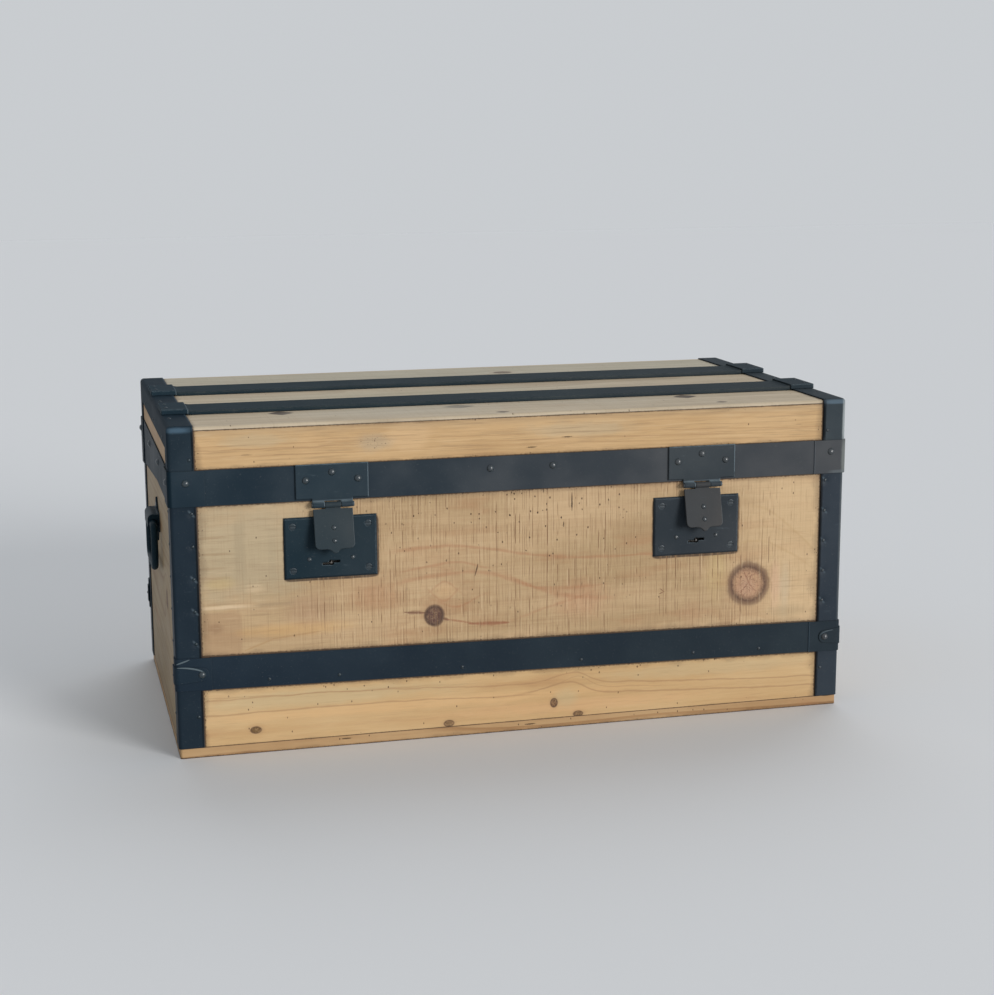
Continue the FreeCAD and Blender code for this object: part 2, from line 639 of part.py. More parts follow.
def hinge_pin(middle_x, axis, radius, width):
    """A plain pin with a small head at each end."""
    head = radius * 0.6
    start = Vector(middle_x - width / 2, axis.y, axis.z)
    pin = Part.makeCylinder(radius, width, start, Vector(1, 0, 0))
    left = Part.makeCylinder(radius + head, head, start - Vector(head, 0, 0), Vector(1, 0, 0))
    right = Part.makeCylinder(radius + head, head, start + Vector(width, 0, 0), Vector(1, 0, 0))
    return pin.fuse([left, right])


def to_rest(solid):
    """Swing a hasp piece from closed to where it hangs, standing off its lock plate."""
    solid.rotate(HASP_AXIS, Vector(1, 0, 0), -HASP_REST)
    return solid


def hasp_flap(hasp_x):
    """The flap: a sheet with an ogee tip, rolled round the pin at its top."""
    half = FLAP_WIDTH / 2
    turn = FLAP_CORNER * (1 - math.sqrt(0.5))
    left_corner = (
        (-half, -FLAP_SHOULDER + FLAP_CORNER),
        (-half + turn, -FLAP_SHOULDER + turn),
        (-half + FLAP_CORNER, -FLAP_SHOULDER),
    )
    drop = FLAP_TIP - FLAP_SHOULDER
    left_scoop = (
        (-FLAP_TIP_HALF, -FLAP_SHOULDER),
        (-FLAP_TIP_HALF * 0.62, -FLAP_SHOULDER - drop * 0.18),
        (-FLAP_TIP_HALF * 0.33, -FLAP_SHOULDER - drop * 0.6),
    )
    tip = (left_scoop[2], (0, -FLAP_TIP), (-left_scoop[2][0], left_scoop[2][1]))
    right_scoop = tuple((-x, z) for x, z in reversed(left_scoop))
    right_corner = tuple((-x, z) for x, z in reversed(left_corner))
    back = HASP_AXIS.y + HASP_KNUCKLE_RADIUS

    def place(x, z):
        return Vector(hasp_x + x, back, HASP_AXIS.z + z)

    tip_edges = [Part.Arc(*[place(*stop) for stop in arc]).toShape() for arc in (left_scoop, tip, right_scoop)]
    left_arc = Part.Arc(*[place(*stop) for stop in left_corner]).toShape()
    right_arc = Part.Arc(*[place(*stop) for stop in right_corner]).toShape()
    top_left = place(-half, -FLAP_TOP)
    top_right = place(half, -FLAP_TOP)
    edges = [
        Part.makeLine(top_left, place(*left_corner[0])),
        left_arc,
        Part.makeLine(place(*left_corner[2]), place(*left_scoop[0])),
        *tip_edges,
        Part.makeLine(place(*right_scoop[2]), place(*right_corner[0])),
        right_arc,
        Part.makeLine(place(*right_corner[2]), top_right),
        Part.makeLine(top_right, top_left),
    ]
    sheet = Part.Face(Part.Wire(edges)).extrude(Vector(0, -HASP_SHEET, 0))
    bore = HASP_PIN_RADIUS + PIN_PLAY
    middle = HASP_MIDDLE_KNUCKLE / 2
    tab = block((hasp_x - middle, hasp_x + middle), (back - HASP_SHEET, back), (HASP_AXIS.z - FLAP_TOP, HASP_AXIS.z))
    roll = knuckle(HASP_AXIS, HASP_KNUCKLE_RADIUS, bore, hasp_x - middle, HASP_MIDDLE_KNUCKLE)
    flap = sheet.fuse([tab, roll]).removeSplitter()
    start = Vector(hasp_x - HASP_WIDTH, HASP_AXIS.y, HASP_AXIS.z)
    flap = flap.cut(Part.makeCylinder(bore, HASP_WIDTH * 2, start, Vector(1, 0, 0)))
    for drop in (STAPLE_UPPER_LEG, STAPLE_LOWER_LEG):
        leg = Vector(hasp_x, back, HASP_AXIS.z - drop)
        flap = flap.cut(rod(STAPLE_SHANK_RADIUS, leg, leg - Vector(0, HASP_SHEET, 0)))
    return to_rest(flap)


def hasp_staple(hasp_x):
    """The staple: an eye behind the flap, its two legs peened over in front."""
    back = HASP_AXIS.y + HASP_KNUCKLE_RADIUS
    tip = HASP_AXIS.y + STAPLE_TIP
    half = STAPLE_THICKNESS / 2
    profile = [
        (back, -STAPLE_UPPER_LEG + half),
        (tip, -STAPLE_CROWN_TOP),
        (tip, -STAPLE_CROWN_BOTTOM),
        (back, -STAPLE_LOWER_LEG - half),
    ]
    face = outline_face(profile, lambda y, z: Vector(hasp_x - half, y, HASP_AXIS.z + z))
    eye = face.extrude(Vector(STAPLE_THICKNESS, 0, 0))
    middle = HASP_AXIS.z - STAPLE_EYE_MIDDLE
    hole_half = BOLT_HEIGHT / 2 + BOLT_PLAY
    hole_y = (-WOOD_Y, -WOOD_Y + 2 * BOLT_PLAY + BOLT_THICKNESS)
    eye = eye.cut(block((hasp_x - half, hasp_x + half), hole_y, (middle - hole_half, middle + hole_half)))
    pieces = []
    for drop in (STAPLE_UPPER_LEG, STAPLE_LOWER_LEG):
        front = Vector(hasp_x, back - HASP_SHEET, HASP_AXIS.z - drop)
        leg = headed(HASP_RIVET[0], HASP_RIVET[1], STAPLE_SHANK_RADIUS, HASP_SHEET + STAPLE_SHANK_RADIUS)
        pieces += set_at(leg, [(front, FRONT)])
    return to_rest(eye.fuse(pieces).removeSplitter())


def lid_wood(holes):
    """Four rails with three thin boards laid over them."""
    rails_top = LID_TOP - TOP_BOARD
    case = lid_block(LID_WOOD_X, LID_WOOD_Y, (RIM_HEIGHT, LID_TOP), LID_IRON_BEND - IRON + BEND_PLAY)
    z = (RIM_HEIGHT, rails_top)
    top = (rails_top, LID_TOP)
    whole_x = (-LID_WOOD_X, LID_WOOD_X)
    hollow_y = LID_WOOD_Y - WALL
    pieces = {
        "lid_front_rail": block(whole_x, (-LID_WOOD_Y, -hollow_y), z),
        "lid_back_rail": block(whole_x, (hollow_y, LID_WOOD_Y), z),
        "lid_end_rail_left": block((-LID_WOOD_X, -LID_WOOD_X + WALL), (-hollow_y, hollow_y), z),
        "lid_end_rail_right": block((LID_WOOD_X - WALL, LID_WOOD_X), (-hollow_y, hollow_y), z),
        "top_board_front": block(whole_x, (-LID_WOOD_Y, FRONT_SLAT_Y), top),
        "top_board_middle": block(whole_x, (FRONT_SLAT_Y, REAR_SLAT_Y), top),
        "top_board_rear": block(whole_x, (REAR_SLAT_Y, LID_WOOD_Y), top),
    }
    return {name: drilled(case.common(piece), holes) for name, piece in pieces.items()}


def lid_end_irons(holes):
    """Folded irons over the ends of the lid: a top leg, a flange down the end, and a leg down each corner."""
    outside = lid_block(LID_IRON_X, LID_IRON_Y, (RIM_HEIGHT, LID_TOP + IRON), LID_IRON_BEND)
    shell = outside.cut(lid_block(LID_WOOD_X, LID_WOOD_Y, (RIM_HEIGHT, LID_TOP), LID_IRON_BEND - IRON))
    irons = {}
    for name, side in (("left", -1), ("right", 1)):
        x = span(side * LID_IRON_X, side * (LID_IRON_X - IRON_LEG))
        iron = shell.common(block(x, (-LID_IRON_Y, LID_IRON_Y), (RIM_HEIGHT, LID_TOP + IRON)))
        bare = LID_IRON_Y - IRON_LEG
        window_x = span(side * (LID_IRON_X + 1), side * (LID_WOOD_X - IRON))
        window = block(window_x, (-bare, bare), (RIM_HEIGHT - 1, LID_TOP + IRON - LID_FLANGE))
        irons[f"lid_end_iron_{name}"] = drilled(iron.cut(window), holes)
    return irons


def seam_bands(holes):
    """The band round the lid's edge: front with returns, two ends that deepen to the rear, and the back."""
    low = SEAM_BAND_LOW - SIDE_BAND_DROP
    ring = lapped_hoop(LID_WOOD_X, LID_WOOD_Y, LID_IRON_BEND, (low, SEAM_BAND_HIGH))
    all_x = (-BAND_X, BAND_X)
    front_end = -BAND_Y + SEAM_RETURN
    back_start = BAND_Y - BACK_RETURN
    bands = {
        "seam_band_front": ring.common(block(all_x, (-BAND_Y, front_end), (SEAM_BAND_LOW, SEAM_BAND_HIGH))),
        "seam_band_back": ring.common(
            block(all_x, (back_start, BAND_Y), (RIM_HEIGHT + BACK_BAND_LIFT, SEAM_BAND_HIGH))
        ),
    }
    outline = [
        (front_end, SEAM_BAND_HIGH),
        (front_end, SEAM_BAND_LOW),
        (SIDE_BAND_BEND_Y, SEAM_BAND_LOW),
        (back_start, low),
        (back_start, SEAM_BAND_HIGH),
    ]
    for name, side in (("left", -1), ("right", 1)):
        face = outline_face(outline, lambda y, z: Vector(0, y, z))
        bands[f"seam_band_{name}"] = ring.common(face.extrude(Vector(side * BAND_X, 0, 0)))
    return {name: drilled(band, holes) for name, band in bands.items()}


def slat_outline(thickness, end):
    """Side view of a slat of some thickness: it steps up over the end irons."""
    step = LID_IRON_X - IRON_LEG - KNUCKLE_GAP
    foot = step - SLAT_RISE
    over = LID_TOP + IRON
    right = [(foot, LID_TOP), (step, over), (end, over), (end, over + thickness), (step, over + thickness)]
    right.append((foot, LID_TOP + thickness))
    left = [(-x, z) for x, z in reversed(right)]
    return [*right, *left]


def lid_slats(holes):
    """Two painted slats along the lid, over the joints of the top boards."""
    end = LID_IRON_X - SLAT_END_GAP - CLAMP
    slats = {}
    for name, middle in (("lid_slat_front", FRONT_SLAT_Y), ("lid_slat_rear", REAR_SLAT_Y)):
        start = middle - SLAT_WIDTH / 2
        face = outline_face(slat_outline(SLAT_THICKNESS, end), lambda x, z: Vector(x, start, z))
        slat = face.extrude(Vector(0, SLAT_WIDTH, 0))
        crown = LID_TOP + SLAT_THICKNESS
        long_edges = [
            edge for edge in slat.Edges if edge.BoundBox.ZMin > crown - 0.1 and edge.BoundBox.YLength < 0.1
        ]
        slats[name] = drilled(slat.makeFillet(SLAT_EDGE_ROUND, long_edges), holes)
    return slats


def slat_clamps(holes):
    """Pressed caps over the slat ends, standing on the end irons."""
    over = LID_TOP + IRON
    clamps = []
    for side in (-1, 1):
        for middle in (FRONT_SLAT_Y, REAR_SLAT_Y):
            half = SLAT_WIDTH / 2
            end = LID_IRON_X - SLAT_END_GAP
            x = span(side * end, side * (end - CLAMP_LENGTH))
            cap = block(x, (middle - half - CLAMP, middle + half + CLAMP), (over, over + SLAT_THICKNESS + CLAMP))
            inside_x = span(side * (end - CLAMP), side * (end - CLAMP_LENGTH - 1))
            inside = block(inside_x, (middle - half, middle + half), (over - 1, over + SLAT_THICKNESS))
            crown = over + SLAT_THICKNESS + CLAMP
            edges = [edge for edge in cap.Edges if edge.BoundBox.ZMin > crown - 0.1]
            clamps.append(drilled(cap.makeFillet(CLAMP * 0.8, edges).cut(inside), holes))
    return clamps


def body_hinge_leaf(middle_x, holes):
    """The lower leaf on the back wall, cranked out to its two outer knuckles."""
    half = HINGE_WIDTH / 2
    shelf = (HINGE_AXIS.z - HINGE_KNUCKLE_RADIUS, HINGE_AXIS.z - HINGE_KNUCKLE_RADIUS + HINGE_SHEET)
    x = (middle_x - half, middle_x + half)
    leaf = block(x, (WOOD_Y, WOOD_Y + HINGE_SHEET), (shelf[0] - HINGE_LEAF_DROP, shelf[0]))
    bore = HINGE_PIN_RADIUS + PIN_PLAY
    rolled = []
    for start, length in outer_knuckles(middle_x, HINGE_WIDTH, HINGE_MIDDLE_KNUCKLE, KNUCKLE_GAP):
        rolled.append(block((start, start + length), (WOOD_Y, HINGE_AXIS.y), shelf))
        rolled.append(block((start, start + length), (WOOD_Y, WOOD_Y + HINGE_SHEET), (shelf[0] - 1, shelf[1])))
        rolled.append(knuckle(HINGE_AXIS, HINGE_KNUCKLE_RADIUS, bore, start, length))
    whole = leaf.fuse(rolled).removeSplitter()
    start = Vector(middle_x - HINGE_WIDTH, HINGE_AXIS.y, HINGE_AXIS.z)
    return drilled(whole.cut(Part.makeCylinder(bore, HINGE_WIDTH * 2, start, Vector(1, 0, 0))), holes)


def lid_hinge_leaf(middle_x, holes):
    """The upper leaf on the lid's back band, rolled into the middle knuckle."""
    half = HINGE_WIDTH / 2
    low = RIM_HEIGHT + BACK_BAND_LIFT
    y = (SEAT_Y, SEAT_Y + HINGE_SHEET)
    leaf = block((middle_x - half, middle_x + half), y, (low, HINGE_AXIS.z + HINGE_LEAF_RISE))
    middle = HINGE_MIDDLE_KNUCKLE / 2
    tab = block((middle_x - middle, middle_x + middle), y, (HINGE_AXIS.z, low + 1))
    bore = HINGE_PIN_RADIUS + PIN_PLAY
    roll = knuckle(HINGE_AXIS, HINGE_KNUCKLE_RADIUS, bore, middle_x - middle, HINGE_MIDDLE_KNUCKLE)
    whole = leaf.fuse([tab, roll]).removeSplitter()
    start = Vector(middle_x - HINGE_WIDTH, HINGE_AXIS.y, HINGE_AXIS.z)
    return drilled(whole.cut(Part.makeCylinder(bore, HINGE_WIDTH * 2, start, Vector(1, 0, 0))), holes)


def handle_plate(side, holes):
    """A plate with a spear point up and down, and a bored hump that holds the bail's top bar."""
    half = HANDLE_HUMP_HALF
    neck = half + (SPEAR_REACH - half) * 0.55
    shoulder = half + (SPEAR_REACH - half) * 0.2
    upper = [(HANDLE_PLATE_HALF, half), (SPEAR_SHOULDER_HALF, shoulder), (SPEAR_NECK_HALF, neck), (0, SPEAR_REACH)]
    left_up = [(-y, z) for y, z in reversed(upper[:-1])]
    lower = [(-y, -z) for y, z in [*upper, *left_up]]
    outline = [*upper, *left_up, *lower]
    inner = side * WOOD_X
    face = outline_face(outline, lambda y, z: Vector(inner, y, HANDLE_AXIS_HEIGHT + z))
    plate = face.extrude(Vector(side * HANDLE_PLATE, 0, 0))
    hump_x = span(side * WOOD_X, side * (WOOD_X + HANDLE_HUMP_OUT))
    z = (HANDLE_AXIS_HEIGHT - half, HANDLE_AXIS_HEIGHT + half)
    hump = block(hump_x, (-HANDLE_HUMP_WIDTH / 2, HANDLE_HUMP_WIDTH / 2), z)
    outer = side * (WOOD_X + HANDLE_HUMP_OUT)
    long_edges = [
        edge
        for edge in hump.Edges
        if abs(edge.BoundBox.Center.x - outer) < 0.1 and edge.BoundBox.YLength > HANDLE_HUMP_WIDTH / 2
    ]
    hump = hump.makeFillet(HANDLE_HUMP_HALF * 0.6, long_edges)
    whole = plate.fuse(hump).removeSplitter()
    start = Vector(side * (WOOD_X + HANDLE_AXIS_OUT), -HANDLE_HUMP_WIDTH, HANDLE_AXIS_HEIGHT)
    bore = Part.makeCylinder(BAIL_ROD_RADIUS + 2 * PIN_PLAY, HANDLE_HUMP_WIDTH * 2, start, Vector(0, 1, 0))
    return drilled(whole.cut(bore), holes)


def bail(side):
    """The handle's bail: one bent rod, a rounded rectangle hanging from its top bar."""
    x = side * (WOOD_X + HANDLE_AXIS_OUT)
    top = HANDLE_AXIS_HEIGHT
    low = HANDLE_AXIS_HEIGHT - BAIL_DROP
    half = BAIL_HALF_WIDTH
    edges = []
    start = Vector(x, 0, top)
    last = start
    corners = (
        (half, top, BAIL_TOP_CORNER),
        (half, low, BAIL_BOTTOM_CORNER),
        (-half, low, BAIL_BOTTOM_CORNER),
        (-half, top, BAIL_TOP_CORNER),
    )
    for number, (y, z, radius) in enumerate(corners):
        side_y = 1 if y > 0 else -1
        side_z = 1 if z > low else -1
        along_y = Vector(x, y - side_y * radius, z)
        along_z = Vector(x, y, z - side_z * radius)
        bend = radius * (1 - math.sqrt(0.5))
        turn = Vector(x, y - side_y * bend, z - side_z * bend)
        first, second = (along_y, along_z) if number % 2 == 0 else (along_z, along_y)
        edges.append(Part.makeLine(last, first))
        edges.append(Part.Arc(first, turn, second).toShape())
        last = second
    edges.append(Part.makeLine(last, start))
    path = Part.Wire(edges)
    section = Part.Wire([Part.makeCircle(BAIL_ROD_RADIUS, start, Vector(0, 1, 0))])
    return path.makePipeShell([section], True, False)


def build():
    """All pieces by name."""
    body_tacks = body_tack_places()
    body_nails = body_nail_places()
    lock_screws = lock_screw_places()
    lock_rivets = lock_rivet_places()
    handle_screws = handle_screw_places()
    lower_screws = hinge_screw_places(WOOD_Y + HINGE_SHEET, RIM_HEIGHT - HINGE_LEAF_DROP / 2 - HINGE_KNUCKLE_RADIUS)
    upper_height = HINGE_AXIS.z + (HINGE_LEAF_RISE + BACK_BAND_LIFT) / 2
    upper_screws = hinge_screw_places(SEAT_Y + HINGE_SHEET, upper_height)
    lid_nails = lid_nail_places()
    lid_tacks = lid_tack_places()
    countersink = screw_hole()
    body_holes = shanks(TACK, body_tacks) + shanks(DOME_NAIL, body_nails)
    screw_holes = set_at(countersink, lock_screws + handle_screws + lower_screws)
    rivet_holes = shanks(LOCK_RIVET, lock_rivets)
    lid_holes = shanks(DOME_NAIL, lid_nails) + shanks(TACK, lid_tacks) + set_at(countersink, upper_screws)

    pockets = [lock_pocket(x) for x in LOCKS.values()]
    pieces = body_boards(body_holes + screw_holes, pockets)
    pieces.update(corner_irons(body_holes))
    pieces.update(straps(body_holes))
    pieces["band_corner_clips"] = strap_clips(body_holes)
    for name, x in LOCKS.items():
        pieces[f"lock_plate_{name}"] = lock_plate(x, HASPS[name], screw_holes + rivet_holes)
        pieces[f"lock_case_{name}"] = lock_case(x, HASPS[name], rivet_holes)
        pieces[f"lock_bolt_{name}"] = lock_bolt(HASPS[name])
        pieces[f"hasp_plate_{name}"] = hasp_plate(HASPS[name], lid_holes)
        pieces[f"hasp_flap_{name}"] = hasp_flap(HASPS[name])
        pieces[f"hasp_staple_{name}"] = hasp_staple(HASPS[name])
    pieces["lock_plate_screws"] = set_at(wood_screw(), lock_screws)
    pieces["lock_plate_rivets"] = set_at(headed(*LOCK_RIVET), lock_rivets)
    for name, side in (("left", -1), ("right", 1)):
        pieces[f"handle_plate_{name}"] = handle_plate(side, screw_holes)
        pieces[f"bail_{name}"] = bail(side)
        pieces[f"body_hinge_leaf_{name}"] = body_hinge_leaf(side * HINGE_X, screw_holes)
        pieces[f"lid_hinge_leaf_{name}"] = lid_hinge_leaf(side * HINGE_X, lid_holes)
    pieces["handle_screws"] = set_at(wood_screw(), handle_screws)
    pieces["hinge_pins"] = [hinge_pin(side * HINGE_X, HINGE_AXIS, HINGE_PIN_RADIUS, HINGE_WIDTH) for side in (-1, 1)]
    pieces["body_hinge_screws"] = set_at(wood_screw(), lower_screws)
    pieces["lid_hinge_screws"] = set_at(wood_screw(), upper_screws)
    pieces["iron_tacks"] = set_at(headed(*TACK), body_tacks)
    pieces["body_dome_nails"] = set_at(headed(*DOME_NAIL), body_nails)

    pieces.update(lid_wood(lid_holes))
    pieces.update(lid_end_irons(lid_holes))
    pieces.update(seam_bands(lid_holes))
    pieces.update(lid_slats(lid_holes))
    pieces["slat_clamps"] = slat_clamps(lid_holes)
    pieces["hasp_pins"] = [hinge_pin(x, HASP_AXIS, HASP_PIN_RADIUS, HASP_WIDTH) for x in HASPS.values()]
    pieces["lid_dome_nails"] = set_at(headed(*DOME_NAIL), lid_nails)
    pieces["lid_tacks"] = set_at(headed(*TACK), lid_tacks)
    return pieces


os.makedirs("parts", exist_ok=True)
for node, piece in build().items():
    solids = piece if isinstance(piece, list) else [piece]
    shape = Part.makeCompound([solid for each in solids for solid in each.Solids])
    shape.exportStep(f"parts/{node}.step")
    print(node, len(shape.Solids), "solids", round(shape.Volume / 1000, 2), "cm3", "valid" if shape.isValid() else "BAD")
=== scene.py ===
import math
import bpy
import numpy as np
from mathutils import Matrix, Vector


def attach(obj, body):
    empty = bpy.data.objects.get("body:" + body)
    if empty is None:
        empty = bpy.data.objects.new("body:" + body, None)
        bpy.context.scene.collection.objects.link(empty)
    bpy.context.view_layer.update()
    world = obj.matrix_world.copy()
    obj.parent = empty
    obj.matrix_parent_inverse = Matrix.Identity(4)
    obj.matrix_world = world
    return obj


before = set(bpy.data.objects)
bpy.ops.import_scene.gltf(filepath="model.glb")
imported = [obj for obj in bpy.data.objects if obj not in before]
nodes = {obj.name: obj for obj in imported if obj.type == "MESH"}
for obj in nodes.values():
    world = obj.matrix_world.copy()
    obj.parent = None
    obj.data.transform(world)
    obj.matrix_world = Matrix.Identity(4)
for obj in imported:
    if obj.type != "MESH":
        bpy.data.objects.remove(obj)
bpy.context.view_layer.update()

# The camera stands a little to the trunk's left and just above its lid, where the
# photographer stood. The lens is given by its focal length in pixels of a picture
# 995 pixels high.
EYE = Vector((-0.4631, -1.9041, 0.5887))
LOOK = Vector((0.2419, 0.9509, -0.193)).normalized()
ACROSS = Vector((0.9689, -0.2475, -0.005))
FOCAL_PIXELS = 1860.1
FRAME_PIXELS = 995
SENSOR = 36.0
lens = bpy.data.cameras.new("camera")
lens.sensor_width = SENSOR
lens.lens = SENSOR * FOCAL_PIXELS / FRAME_PIXELS
lens.clip_start = 0.05
lens.clip_end = 60
camera = bpy.data.objects.new("camera", lens)
bpy.context.collection.objects.link(camera)
upward = ACROSS.cross(LOOK).normalized()
across = LOOK.cross(upward)
camera.matrix_world = Matrix.Translation(EYE) @ Matrix((across, upward, -LOOK)).transposed().to_4x4()
bpy.context.scene.camera = camera
bpy.context.scene.view_settings.view_transform = "Standard"


# The studio: a wide pale floor under an even pale surround, one broad soft key light
# low in front and to the right, and a weak one behind so that the back is not black.
class Wire:
    """An output of a shader node. Arithmetic on it adds Math nodes, and wire[title] is the node's output
    of that title."""

    def __init__(self, node, key=0):
        self.node = node
        self.key = key

    def __getitem__(self, key):
        return Wire(self.node, key)

    def __add__(self, other):
        return calc("ADD", self, other)

    def __sub__(self, other):
        return calc("SUBTRACT", self, other)

    def __rsub__(self, other):
        return calc("SUBTRACT", other, self)

    def __mul__(self, other):
        return calc("MULTIPLY", self, other)

    def __truediv__(self, other):
        return calc("DIVIDE", self, other)

    def __rtruediv__(self, other):
        return calc("DIVIDE", other, self)

    def __pow__(self, other):
        return calc("POWER", self, other)

    def __abs__(self):
        return calc("ABSOLUTE", self)


def link(wire, socket):
    """Joins a wire to an input."""
    socket.id_data.links.new(wire.node.outputs[wire.key], socket)


def put(kind, links, tree=None, **settings):
    """A shader node, as a wire from its first output. links names its inputs: a wire is joined on,
    anything else is set as the input's value. The node goes into the tree that is given, or into that of
    the first wire."""
    if tree is None:
        tree = next(value for value in links.values() if isinstance(value, Wire)).node.id_data
    node = tree.nodes.new(kind)
    for key, value in settings.items():
        setattr(node, key, value)
    for key, value in links.items():
        if isinstance(value, Wire):
            link(value, node.inputs[key])
        else:
            node.inputs[key].default_value = value
    return Wire(node)


def calc(operation, *terms):
    """Arithmetic on one to three numbers or wires."""
    return put("ShaderNodeMath", dict(enumerate(terms)), operation=operation)


def vector(operation, *terms):
    """Arithmetic on places, coordinate by coordinate."""
    return put("ShaderNodeVectorMath", dict(enumerate(terms)), operation=operation)


def dot(first, second):
    """The dot product of two places."""
    return vector("DOT_PRODUCT", first, second)["Value"]


def fade(value, start, finish):
    """Goes smoothly from 0 where value is at start to 1 where it is at finish; start may be the
    larger."""
    ends = {"Value": value, "From Min": start, "From Max": finish}
    return put("ShaderNodeMapRange", ends, interpolation_type="SMOOTHSTEP")


def mixed(share, first, second, how="MIX"):
    """Two colours mixed by a share from 0, the first, to 1, the second."""
    if isinstance(second, tuple):
        second = (*second[:3], 1)
    return put("ShaderNodeMix", {0: share, 6: first, 7: second}, data_type="RGBA", blend_type=how)[2]


def stretched(place, x, y, z):
    """A place with each of its coordinates multiplied, so that a pattern on it is drawn out."""
    return vector("MULTIPLY", place, (x, y, z))


def cloudy(place, detail=2.0, roughness=0.5):
    """Smooth noise from 0 to 1 with cells of about one unit of the stretched place."""
    links = {"Vector": place, "Scale": 1.0, "Detail": detail, "Roughness": roughness}
    return put("ShaderNodeTexNoise", links)


def new_material(name, **values):
    """A material with one Principled shader, and that shader. values are the shader's own, by title."""
    made = bpy.data.materials.new(name)
    made.use_nodes = True
    shader = made.node_tree.nodes["Principled BSDF"]
    for title, value in values.items():
        shader.inputs[title.replace("_", " ")].default_value = value
    return made, shader


FLOOR_HALF = 9.0
floor_mesh = bpy.data.meshes.new("floor")
floor_corners = [(x * FLOOR_HALF, y * FLOOR_HALF, 0) for x, y in ((-1, -1), (1, -1), (1, 1), (-1, 1))]
floor_mesh.from_pydata(floor_corners, [], [(0, 1, 2, 3)])
floor = bpy.data.objects.new("floor", floor_mesh)
FLOOR_COLOUR = (0.8, 0.815, 0.84, 1)
floor_look = new_material("floor", Base_Color=FLOOR_COLOUR, Roughness=0.9, Specular_IOR_Level=0.0)[0]
floor.data.materials.append(floor_look)
bpy.context.collection.objects.link(floor)

SURROUND = 0.4
SURROUND_COLOUR = (0.93, 0.97, 1.0, 1)
BACKGROUND_COLOUR = (0.5836, 0.6055, 0.6291, 1)
world = bpy.data.worlds.new("studio")
world.use_nodes = True
sky = world.node_tree
sky.nodes.clear()
ray = put("ShaderNodeLightPath", {}, sky)
seen = calc("MAXIMUM", ray["Is Camera Ray"], ray["Is Transmission Ray"])
seen = calc("MAXIMUM", seen, ray["Is Glossy Ray"])
soft = put("ShaderNodeBackground", {"Color": SURROUND_COLOUR, "Strength": SURROUND}, sky)
pale = put("ShaderNodeBackground", {"Color": BACKGROUND_COLOUR, "Strength": 1.0}, sky)
both = put("ShaderNodeMixShader", {0: seen, 1: soft, 2: pale})
put("ShaderNodeOutputWorld", {"Surface": both})
bpy.context.scene.world = world


def soft_light(name, towards, power, width, colour, mirrored):
    """A broad light far away; towards points from the trunk to it, width is the angle it fills in
    degrees."""
    light = bpy.data.lights.new(name, "SUN")
    light.energy = power
    light.angle = math.radians(width)
    light.color = colour
    lamp = bpy.data.objects.new(name, light)
    lamp.rotation_euler = Vector(towards).to_track_quat("Z", "Y").to_euler()
    lamp.visible_glossy = mirrored
    bpy.context.collection.objects.link(lamp)


soft_light("key", (0.55, -0.82, 0.22), 2.4, 24, (1.0, 0.98, 0.95), True)
soft_light("back", (0.25, 0.65, 0.7), 0.85, 50, (1.0, 1.0, 1.0), False)


# The boards of the body: planed pine, stripped of an old finish and left with scratches
# across the grain, dark specks and stains. Growth rings are cylinders about the tree's
# heart, so a board cut off-centre shows them as long lines that widen towards the middle.
def group(name, takes, gives):
    """A node group. takes and gives name its inputs and outputs, each a number unless its kind follows a
    colon. Returns the wires that come in and the sockets that go out."""
    tree = bpy.data.node_groups.new(name, "ShaderNodeTree")
    for titles, way in ((takes, "INPUT"), (gives, "OUTPUT")):
        for each in titles.split():
            title, _, kind = each.partition(":")
            tree.interface.new_socket(name=title, in_out=way, socket_type="NodeSocket" + (kind or "Float"))
    return Wire(tree.nodes.new("NodeGroupInput")), tree.nodes.new("NodeGroupOutput").inputs


def use(name, **links):
    """One use of a node group; its outputs are found by title."""
    return put("ShaderNodeGroup", links, node_tree=bpy.data.node_groups[name])


def scaled(place, factor):
    """A place multiplied by one number."""
    return put("ShaderNodeVectorMath", {0: place, "Scale": factor}, operation="SCALE")


def split(place):
    """The three coordinates of a place."""
    parts = put("ShaderNodeSeparateXYZ", {0: place})
    return [parts[axis] for axis in range(3)]


def inside_range(value):
    """A value kept between 0 and 1."""
    return put("ShaderNodeClamp", {0: value})


def make_grain():
    """Rings: the distance from the heart line, warped slowly along the board, divided into rings whose
    late wood darkens smoothly and stops sharply. Fibres: noise drawn out along the board."""
    takes = "Place:Vector Heart:Vector Ring Lean Wander Thin Push Early:Color Late:Color Strength Fibre"
    given, out = group("grain", takes, "Colour:Color Height")
    place = given["Place"]
    off = split(vector("SUBTRACT", place, given["Heart"]))
    squares = off[1] * off[1] + off[2] * off[2]
    slow = cloudy(stretched(place, 2.6, 9, 9), 2.0) - 0.5
    reach = slow * given["Wander"] + calc("SQRT", squares)
    reach = off[0] * given["Lean"] + reach
    turn = (reach + given["Push"]) / given["Ring"]
    years = {"W": turn * 0.41, "Scale": 1.0, "Detail": 1.0}
    uneven = put("ShaderNodeTexNoise", years, noise_dimensions="1D")
    turn = uneven * 1.7 + turn
    phase = calc("FRACT", turn)
    late = fade(phase, given["Thin"], 0.95) * fade(phase, 1.0, 0.955)
    each = put("ShaderNodeTexWhiteNoise", {"W": calc("FLOOR", turn)}, noise_dimensions="1D")
    late = late * (each * 0.8 + 0.2)
    fibre = cloudy(stretched(place, 30, 1300, 1300), 3.0, 0.65)
    streak = cloudy(stretched(place, 7, 240, 240), 3.0, 0.6)
    share = late * given["Strength"]
    share = (streak - 0.46) * given["Fibre"] + share
    share = (fibre - 0.48) * given["Fibre"] + share
    share = inside_range(share + 0.08)
    colour = mixed(share, given["Early"], given["Late"])
    link(colour, out["Colour"])
    link(fibre * 0.6 + late * -0.6, out["Height"])


